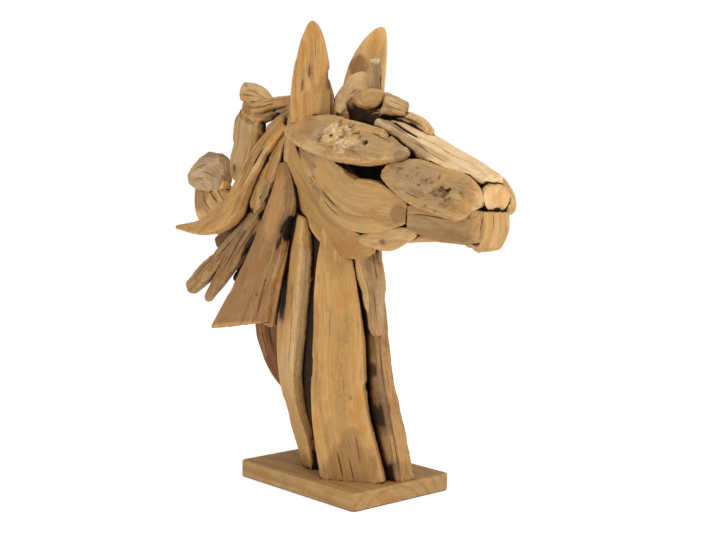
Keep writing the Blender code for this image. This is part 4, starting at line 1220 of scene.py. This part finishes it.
def neck():
    make(
        Wood("right_neck_stave", "golden",
             ((37, 384, 30), (40, 300, 60), (44, 225, 71), (44, 127, 80), (75, FOOT, 91)),
             (-46, -43), ((0.6, -0.8, 0.0), (0.5, -0.85, 0.2)), thick=34, crown=7, square=2.8,
             notches=((-1, 0.62, 9, 2), (1, 0.55, 18, 1.5)),
             cracks=((0.22, 0.85, 0.97, 1.2, 2.0), (-0.1, 0.88, 0.99, 0.9, 1.5),
                     (-0.45, 0.80, 0.93, 0.7, 1.1), (-0.25, 0.58, 0.64, 0.5, 0.8)),
             stains=((-0.05, 0.93, 42, 48, 0.55), (-0.3, 0.84, 16, 30, 0.40), (0.72, 0.5, 6, 90, 0.22),
                     (-0.45, 0.66, 2.5, 5, 0.6)),
             pales=((1.0, 0.35, 5, 120, 0.6),),
             fresh=((-0.93, 0.55, 6, 150, 0.9), (-0.2, 0.90, 34, 44, 0.6)),
             rings=9.0, wear=0.4, auto=1, shade=0.99),
        Wood("right_neck_rear_stave", "golden",
             ((-28, 391, 30), (-45, 335, 60), (-59, 243, 61), (-67, 165, 50), (-50, 95, 35), (-37, 66, 36),
              (-20, FOOT, 21)),
             (-55, -43), ((-0.2, -1.0, 0.0), (-0.2, -0.95, -0.1)), thick=30, crown=6, square=2.8,
             ends=(0, 6), notches=((1, 0.30, 12, 4), (1, 0.74, 20, 3)),
             cracks=((-0.45, 0.24, 0.36, 1.4, 2.2), (-0.62, 0.34, 0.56, 1.0, 1.6),
                     (0.3, 0.2, 0.5, 0.7, 1.0)),
             pales=((-0.95, 0.45, 10, 170, 0.95), (-0.2, 0.55, 18, 70, 0.35)),
             stains=((0.0, 0.955, 14, 18, 0.45), (0.5, 0.06, 14, 22, 0.8), (-0.35, 0.28, 4, 12, 0.5)),
             rings=7.5, wear=0.6, auto=2, shade=1.06),
        Wood("throat_wedge", "tan", ((65, 366, 42), (75, 300, 40), (81, 222, 16)),
             (-12, 0), ((0.95, -0.2, 0.1), (0.95, 0.2, 0.15)), thick=26, crown=3, square=3, ends=(0, 5),
             stains=((-0.1, 0.12, 20, 26, 0.85), (0.3, 0.30, 8, 12, 0.4), (0.5, 0.6, 4, 20, 0.5)),
             greys=((0.2, 0.45, 14, 50, 0.6), (0.0, 0.85, 20, 40, 0.7)), pales=((-0.3, 0.62, 8, 30, 0.6),),
             cracks=((-0.2, 0.1, 0.5, 1.0, 1.6), (0.3, 0.5, 0.9, 0.8, 1.2)), shade=1.22, cool=0.15,
             wear=1.3, soft=(0, 16)),
        Wood("front_neck_stave", "grey", ((71, 272, 22), (83, 170, 28), (106, 80, 31), (120, FOOT, 34)),
             (6, 14), ((1.0, 0.1, 0.1), (0.95, 0.0, 0.2)), thick=34, crown=3, square=3.4,
             fresh=((-0.35, 0.62, 17, 190, 0.9), (0.2, 0.97, 22, 22, 0.8), (0.9, 0.40, 9, 34, 0.5),
                    (0.9, 0.76, 10, 22, 0.6)),
             stains=((0.9, 0.42, 9, 30, 0.6), (0.9, 0.60, 12, 34, 0.7), (1.1, 0.94, 12, 26, 0.8)),
             shade_and_blotches=((1.1, 0.60, 7, 20, 0.9), (1.1, 0.92, 8, 22, 1.0), (1.0, 0.36, 5, 14, 0.8)),
             cracks=((0.55, 0.2, 0.7, 1.2, 2.2), (0.0, 0.35, 0.5, 0.8, 1.4), (0.6, 0.6, 0.95, 1.0, 1.8)),
             shade=0.80, cool=-0.28, clean=0.35, wear=1.1, soft=(0, 6)),
        # painted shade: the slat is darkened almost to black, as the shade in the gap between the staves
        Wood("right_neck_inner_slat", "brown", ((-6, 372, 30), (-22, 210, 36), (-25, FOOT, 35)),
             (-38, -36), (0.0, -1.0, 0.0), thick=26, crown=3, square=3, shade=0.10),
        Wood("nape_slab", "red",
             ((-116, 340, 62), (-142, 262, 66), (-146, 200, 59), (-124, 153, 38), (-106, 130, 14)),
             (-22, -22), (-0.05, -1.0, 0.0), thick=34, crown=5, square=2.8, ends=(0, 6),
             cracks=((-0.3, 0.25, 0.8, 1.6, 3.0), (0.0, 0.35, 0.7, 1.2, 2.2), (0.35, 0.3, 0.8, 1.0, 1.8)),
             stains=((-0.25, 0.5, 10, 60, 0.7),), fresh=((0.4, 0.55, 12, 50, 0.35),), wear=1.3, shade=0.82,
             cool=-0.45),
        Wood("left_neck_stave", "golden",
             ((14, 384, 34), (16, 300, 56), (20, 190, 70), (34, 115, 78), (56, FOOT, 78)),
             (48, 43), ((0.3, 0.95, 0.0), (0.3, 0.95, 0.15)), thick=34, crown=4, square=2.8,
             rings=7.0, wear=0.7),
        Wood("left_neck_rear_stave", "tan",
             ((-16, 392, 40), (-34, 320, 78), (-50, 240, 86), (-53, 150, 74), (-38, FOOT, 56)),
             (55, 43), ((-0.2, 1.0, 0.0), (-0.25, 0.95, 0.0)), thick=32, crown=5, square=2.8,
             rings=6.5, wear=0.8),
        Wood("nape_stave", "tan",
             ((-70, 470, 70), (-84, 400, 80), (-93, 280, 76), (-84, 160, 63), (-58, FOOT, 46)),
             (2, 2), ((-1.0, 0.0, 0.1), (-1.0, 0.0, -0.2)), thick=40, crown=5, square=2.8, auto=3),
        Wood("poll_block", "tan", ((-44, 534, 42), (-50, 538, 50), (-44, 534, 42)),
             (-34, 36), (-0.5, 0.0, 0.85), thick=30, crown=5, square=2.8),
    )


# --- the base board -------------------------------------------------------------

BOARD_SEED = 4711
BOARD_CORNER = 9.0          # radius of the board's corners in plan, in millimetres
BOARD_LEAST_CORNER = 0.6    # and that of the corners of the rings inside it
BOARD_EDGE = 3.0            # how far its long edges are eased
BOARD_EASE = 0.9            # the middle of the eased edge lies so far in and so far down
BOARD_SIDE_STEPS = 60       # points along each side of the board
BOARD_CORNER_STEPS = 8
BOARD_EDGE_STEPS = 6
BOARD_TALL_STEPS = 8
BOARD_TOP_RINGS = 22
BOARD_TOP = 2.0             # only this much of its height below the top takes painted shade and dirt
BOARD_PITH = (24.0, 42.0)   # how far beside and below the board the tree's heart was


def board_outline(half_long, half_wide, corner):
    """Points round a rectangle with round corners, the same number for every size."""
    corners = []
    for quarter in range(4):
        away_x = (half_long - corner) * (1 if quarter in (0, 3) else -1)
        away_y = (half_wide - corner) * (1 if quarter in (0, 1) else -1)
        angles = (quarter + np.linspace(0.0, 1.0, BOARD_CORNER_STEPS + 1)) * math.pi / 2
        corners.append(np.column_stack((away_x + corner * np.cos(angles), away_y + corner * np.sin(angles))))
    points = []
    for here, after in zip(corners, corners[1:] + corners[:1]):
        share = np.linspace(0.0, 1.0, BOARD_SIDE_STEPS + 1)[1:-1, None]
        points += [here, here[-1] * (1.0 - share) + after[0] * share]
    return np.vstack(points)


def board_profile(reach, tall):
    """How far in and how high each ring of the board lies, from the middle of its underside."""
    rim = [(BOARD_EDGE * (1 - math.sin(a)), BOARD_EDGE * (1 - math.cos(a)))
           for a in np.linspace(0, math.pi / 2, BOARD_EDGE_STEPS)]
    inner = np.linspace(0.0, reach - BOARD_EDGE - 1.0, BOARD_TOP_RINGS)[1:]
    sides = np.linspace(BOARD_EDGE, tall - BOARD_EDGE, BOARD_TALL_STEPS)[1:-1]
    profile = [(BOARD_EDGE + inset, 0.0) for inset in inner[::-1]]
    profile += rim
    profile += [(0.0, height) for height in sides]
    profile += [(inset, tall - height) for inset, height in rim[::-1]]
    profile += [(BOARD_EDGE + inset, tall) for inset in inner]
    return profile


def board_mesh():
    """The base board, with its eased edges very slightly worn."""
    low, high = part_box("base_board")
    long, wide, tall = [(b - a) / MM for a, b in zip(low, high)]
    middle = [(a + b) / 2 / MM for a, b in zip(low, high)]
    profile = board_profile(min(long, wide) / 2, tall)
    rings = []
    for inset, height in profile:
        corner = max(BOARD_LEAST_CORNER, BOARD_CORNER - inset)
        ring = board_outline(long / 2 - inset, wide / 2 - inset, corner)
        rings.append(np.column_stack((ring, np.full(len(ring), height))))
    points = np.array(rings)
    around = points.shape[1]
    flat = points.reshape(-1, 3)
    worn_in = 0.35 * noise(flat / 14.0, BOARD_SEED) + 0.15 * noise(flat / 4.0, BOARD_SEED + 1)
    near_rim = np.abs(np.array([inset for inset, _ in profile]) - BOARD_EASE)
    wear = np.repeat(np.exp(-(near_rim / 1.6)**2), around)
    flat = flat * (1.0 - (np.abs(worn_in) * wear / (wide / 2))[:, None] * np.array([1.0, 1.0, 0.0]))
    flat = flat + np.array([middle[0], middle[1], low[2] / MM])

    index, _, faces = strip_faces(len(profile), around)
    faces += [index[0].tolist()[::-1], index[-1].tolist()]
    mesh = bpy.data.meshes.new("base_board")
    mesh.from_pydata((flat * MM).tolist(), [], faces)

    grain = flat[:, (1, 0, 2)]
    sway = 5.0 * noise(grain / np.array([50.0, 120.0, 50.0]), BOARD_SEED + 2)
    beside, below = BOARD_PITH
    ring = np.hypot(grain[:, 0] + beside + sway, grain[:, 2] + below) + 0.03 * grain[:, 1] + sway
    up = np.zeros(points.shape) + np.array([0.0, 0.0, 1.0])
    on_top = flat[:, 2] > flat[:, 2].max() - BOARD_TOP
    # painted shade and dirt on the top, where the staves shelter it
    shelter_shade = dirt(flat.reshape(points.shape) * MM, up).ravel() * on_top
    # the eased edges are pale: worn, and with a painted highlight
    off_edge = [math.hypot(inset - BOARD_EASE, min(height, tall - height) - BOARD_EASE)
                for inset, height in profile]
    edge = 0.9 * np.exp(-(np.repeat(off_edge, around) / 2.2)**2)
    none = np.zeros(len(flat))
    put_vectors(mesh, "grain", grain * MM)
    put_vectors(mesh, "marks", np.column_stack((none, none, none)))
    put_vectors(mesh, "wear", np.column_stack((none, shelter_shade, edge)))
    put_vectors(mesh, "growth", np.column_stack((ring * MM, none, none)))
    return finished(mesh)


def base_board():
    material = wood_material("base_board", "golden", BOARD_SEED, shade=0.79, rings=17.0, wear=0.0)
    put_piece("base_board", board_mesh(), material)


# --- the studio -----------------------------------------------------------------

def put_in_scene(name, data, place, way):
    """An object at a place, that looks back along the way it lies in."""
    item = bpy.data.objects.new(name, data)
    item.location = place
    item.rotation_euler = way.to_track_quat("Z", "Y").to_euler()
    bpy.context.scene.collection.objects.link(item)
    return item


def direction(azimuth, elevation):
    """The way from the sculpture towards a place round it."""
    return Vector((math.sin(azimuth) * math.cos(elevation), -math.cos(azimuth) * math.cos(elevation),
                   math.sin(elevation)))


def put_camera():
    way = direction(CAMERA_AZIMUTH, CAMERA_ELEVATION)
    lens = bpy.data.cameras.new("camera")
    lens.lens = CAMERA_LENS
    bpy.context.scene.camera = put_in_scene("camera", lens, CAMERA_AIM + way * CAMERA_DISTANCE, way)


def soft_light(name, azimuth, elevation, distance, size, watts):
    """A big square light that looks at the middle of the sculpture."""
    light = bpy.data.lights.new(name, "AREA")
    light.energy = watts
    light.size = size
    way = direction(math.radians(azimuth), math.radians(elevation))
    put_in_scene(name, light, CAMERA_AIM + way * distance, way)


def put_world(ambient):
    """A white room: white where the camera sees it, and dimmer as a light."""
    world = bpy.data.worlds.new("white_room")
    bpy.context.scene.world = world
    world.use_nodes = True
    nodes, links = world.node_tree.nodes, world.node_tree.links
    sky = nodes["Background"]
    sky.inputs["Color"].default_value = (1.0, 1.0, 1.0, 1.0)
    path = nodes.new("ShaderNodeLightPath")
    strength = nodes.new("ShaderNodeMapRange")
    strength.inputs["To Min"].default_value = ambient
    strength.inputs["To Max"].default_value = 1.0
    links.new(path.outputs["Is Camera Ray"], strength.inputs["Value"])
    links.new(strength.outputs[0], sky.inputs["Strength"])


def put_floor(tint):
    """A wide sheet of pale paper under the board."""
    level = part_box("base_board")[0].z
    corners = [(x * FLOOR_REACH, y * FLOOR_REACH, level) for x, y in ((-1, -1), (1, -1), (1, 1), (-1, 1))]
    mesh = bpy.data.meshes.new("floor")
    mesh.from_pydata(corners, [], [(0, 1, 2, 3)])
    mesh.materials.append(Shader("floor_paper").finish(
        Base_Color=tint, Roughness=0.9, Emission_Color=(1.0, 1.0, 1.0), Emission_Strength=FLOOR_GLOW))
    floor = bpy.data.objects.new("floor", mesh)
    bpy.context.scene.collection.objects.link(floor)


def studio():
    settings = bpy.context.scene.driftwood_studio
    bpy.context.scene.view_settings.view_transform = "Standard"
    put_camera()
    put_world(settings.ambient)
    soft_light("key_light", azimuth=86.0, elevation=42.0, distance=1.9, size=1.3, watts=settings.key)
    soft_light("fill_light", azimuth=8.0, elevation=30.0, distance=2.1, size=1.6, watts=settings.fill)
    put_floor(settings.floor)


# --- the add-on -----------------------------------------------------------------

class DRIFTWOOD_OT_studio(bpy.types.Operator):
    """Set up the camera, the floor and the lights"""
    bl_idname = "driftwood.studio"
    bl_label = "Studio"

    def execute(self, context):
        studio()
        return {"FINISHED"}


class DRIFTWOOD_OT_base_board(bpy.types.Operator):
    """Make the rectangular board"""
    bl_idname = "driftwood.base_board"
    bl_label = "Base board"

    def execute(self, context):
        base_board()
        return {"FINISHED"}


class DRIFTWOOD_OT_right_head(bpy.types.Operator):
    """Make the brow, cheek and jaw that face the viewer"""
    bl_idname = "driftwood.right_head"
    bl_label = "Right side of the head"

    def execute(self, context):
        right_head()
        return {"FINISHED"}


class DRIFTWOOD_OT_muzzle(bpy.types.Operator):
    """Make the nose bridge, the nose tip and the chin"""
    bl_idname = "driftwood.muzzle"
    bl_label = "Muzzle"

    def execute(self, context):
        muzzle()
        return {"FINISHED"}


class DRIFTWOOD_OT_left_head(bpy.types.Operator):
    """Make the brow, cheek and jaw of the far side"""
    bl_idname = "driftwood.left_head"
    bl_label = "Left side of the head"

    def execute(self, context):
        left_head()
        return {"FINISHED"}


class DRIFTWOOD_OT_ears(bpy.types.Operator):
    """Make both ears and the wedge behind the right one"""
    bl_idname = "driftwood.ears"
    bl_label = "Ears"

    def execute(self, context):
        ears()
        return {"FINISHED"}


class DRIFTWOOD_OT_forelock(bpy.types.Operator):
    """Make the broken pieces between the ears"""
    bl_idname = "driftwood.forelock"
    bl_label = "Forelock"

    def execute(self, context):
        forelock()
        return {"FINISHED"}


class DRIFTWOOD_OT_crest(bpy.types.Operator):
    """Make the upper mane, from the fin to the horn"""
    bl_idname = "driftwood.crest"
    bl_label = "Crest"

    def execute(self, context):
        crest()
        return {"FINISHED"}


class DRIFTWOOD_OT_tresses(bpy.types.Operator):
    """Make the lower mane, from the fist to the broad board"""
    bl_idname = "driftwood.tresses"
    bl_label = "Tresses"

    def execute(self, context):
        tresses()
        return {"FINISHED"}


class DRIFTWOOD_OT_left_mane(bpy.types.Operator):
    """Make the far side of the mane"""
    bl_idname = "driftwood.left_mane"
    bl_label = "Left mane"

    def execute(self, context):
        left_mane()
        return {"FINISHED"}


class DRIFTWOOD_OT_neck(bpy.types.Operator):
    """Make the staves of the neck and the block at the poll"""
    bl_idname = "driftwood.neck"
    bl_label = "Neck"

    def execute(self, context):
        neck()
        return {"FINISHED"}


OPERATORS = (DRIFTWOOD_OT_studio, DRIFTWOOD_OT_base_board, DRIFTWOOD_OT_right_head, DRIFTWOOD_OT_muzzle,
             DRIFTWOOD_OT_left_head, DRIFTWOOD_OT_ears, DRIFTWOOD_OT_forelock, DRIFTWOOD_OT_crest,
             DRIFTWOOD_OT_tresses, DRIFTWOOD_OT_left_mane, DRIFTWOOD_OT_neck)


class DRIFTWOOD_PT_panel(bpy.types.Panel):
    """Sidebar panel that lists the steps and their settings."""
    bl_idname = "DRIFTWOOD_PT_panel"
    bl_label = "Driftwood Horse Head"
    bl_space_type = "VIEW_3D"
    bl_region_type = "UI"
    bl_category = "Driftwood"

    def draw(self, context):
        for group in (context.scene.driftwood_colours, context.scene.driftwood_relief,
                      context.scene.driftwood_studio):
            box = self.layout.box()
            for name in group.__annotations__:
                box.prop(group, name)
        for item in OPERATORS:
            self.layout.operator(item.bl_idname)


SETTINGS = (("driftwood_colours", DriftwoodColours), ("driftwood_relief", DriftwoodRelief),
            ("driftwood_studio", DriftwoodStudio))


def register():
    for name, group in SETTINGS:
        bpy.utils.register_class(group)
        setattr(bpy.types.Scene, name, bpy.props.PointerProperty(type=group))
    for item in OPERATORS:
        bpy.utils.register_class(item)
    bpy.utils.register_class(DRIFTWOOD_PT_panel)


def unregister():
    bpy.utils.unregister_class(DRIFTWOOD_PT_panel)
    for item in reversed(OPERATORS):
        bpy.utils.unregister_class(item)
    for name, group in reversed(SETTINGS):
        delattr(bpy.types.Scene, name)
        bpy.utils.unregister_class(group)


def main():
    register()
    for item in OPERATORS:
        step = item.bl_idname.split(".")[1]
        getattr(bpy.ops.driftwood, step)()
    bpy.context.view_layer.update()


if __name__ == "__main__":
    main()
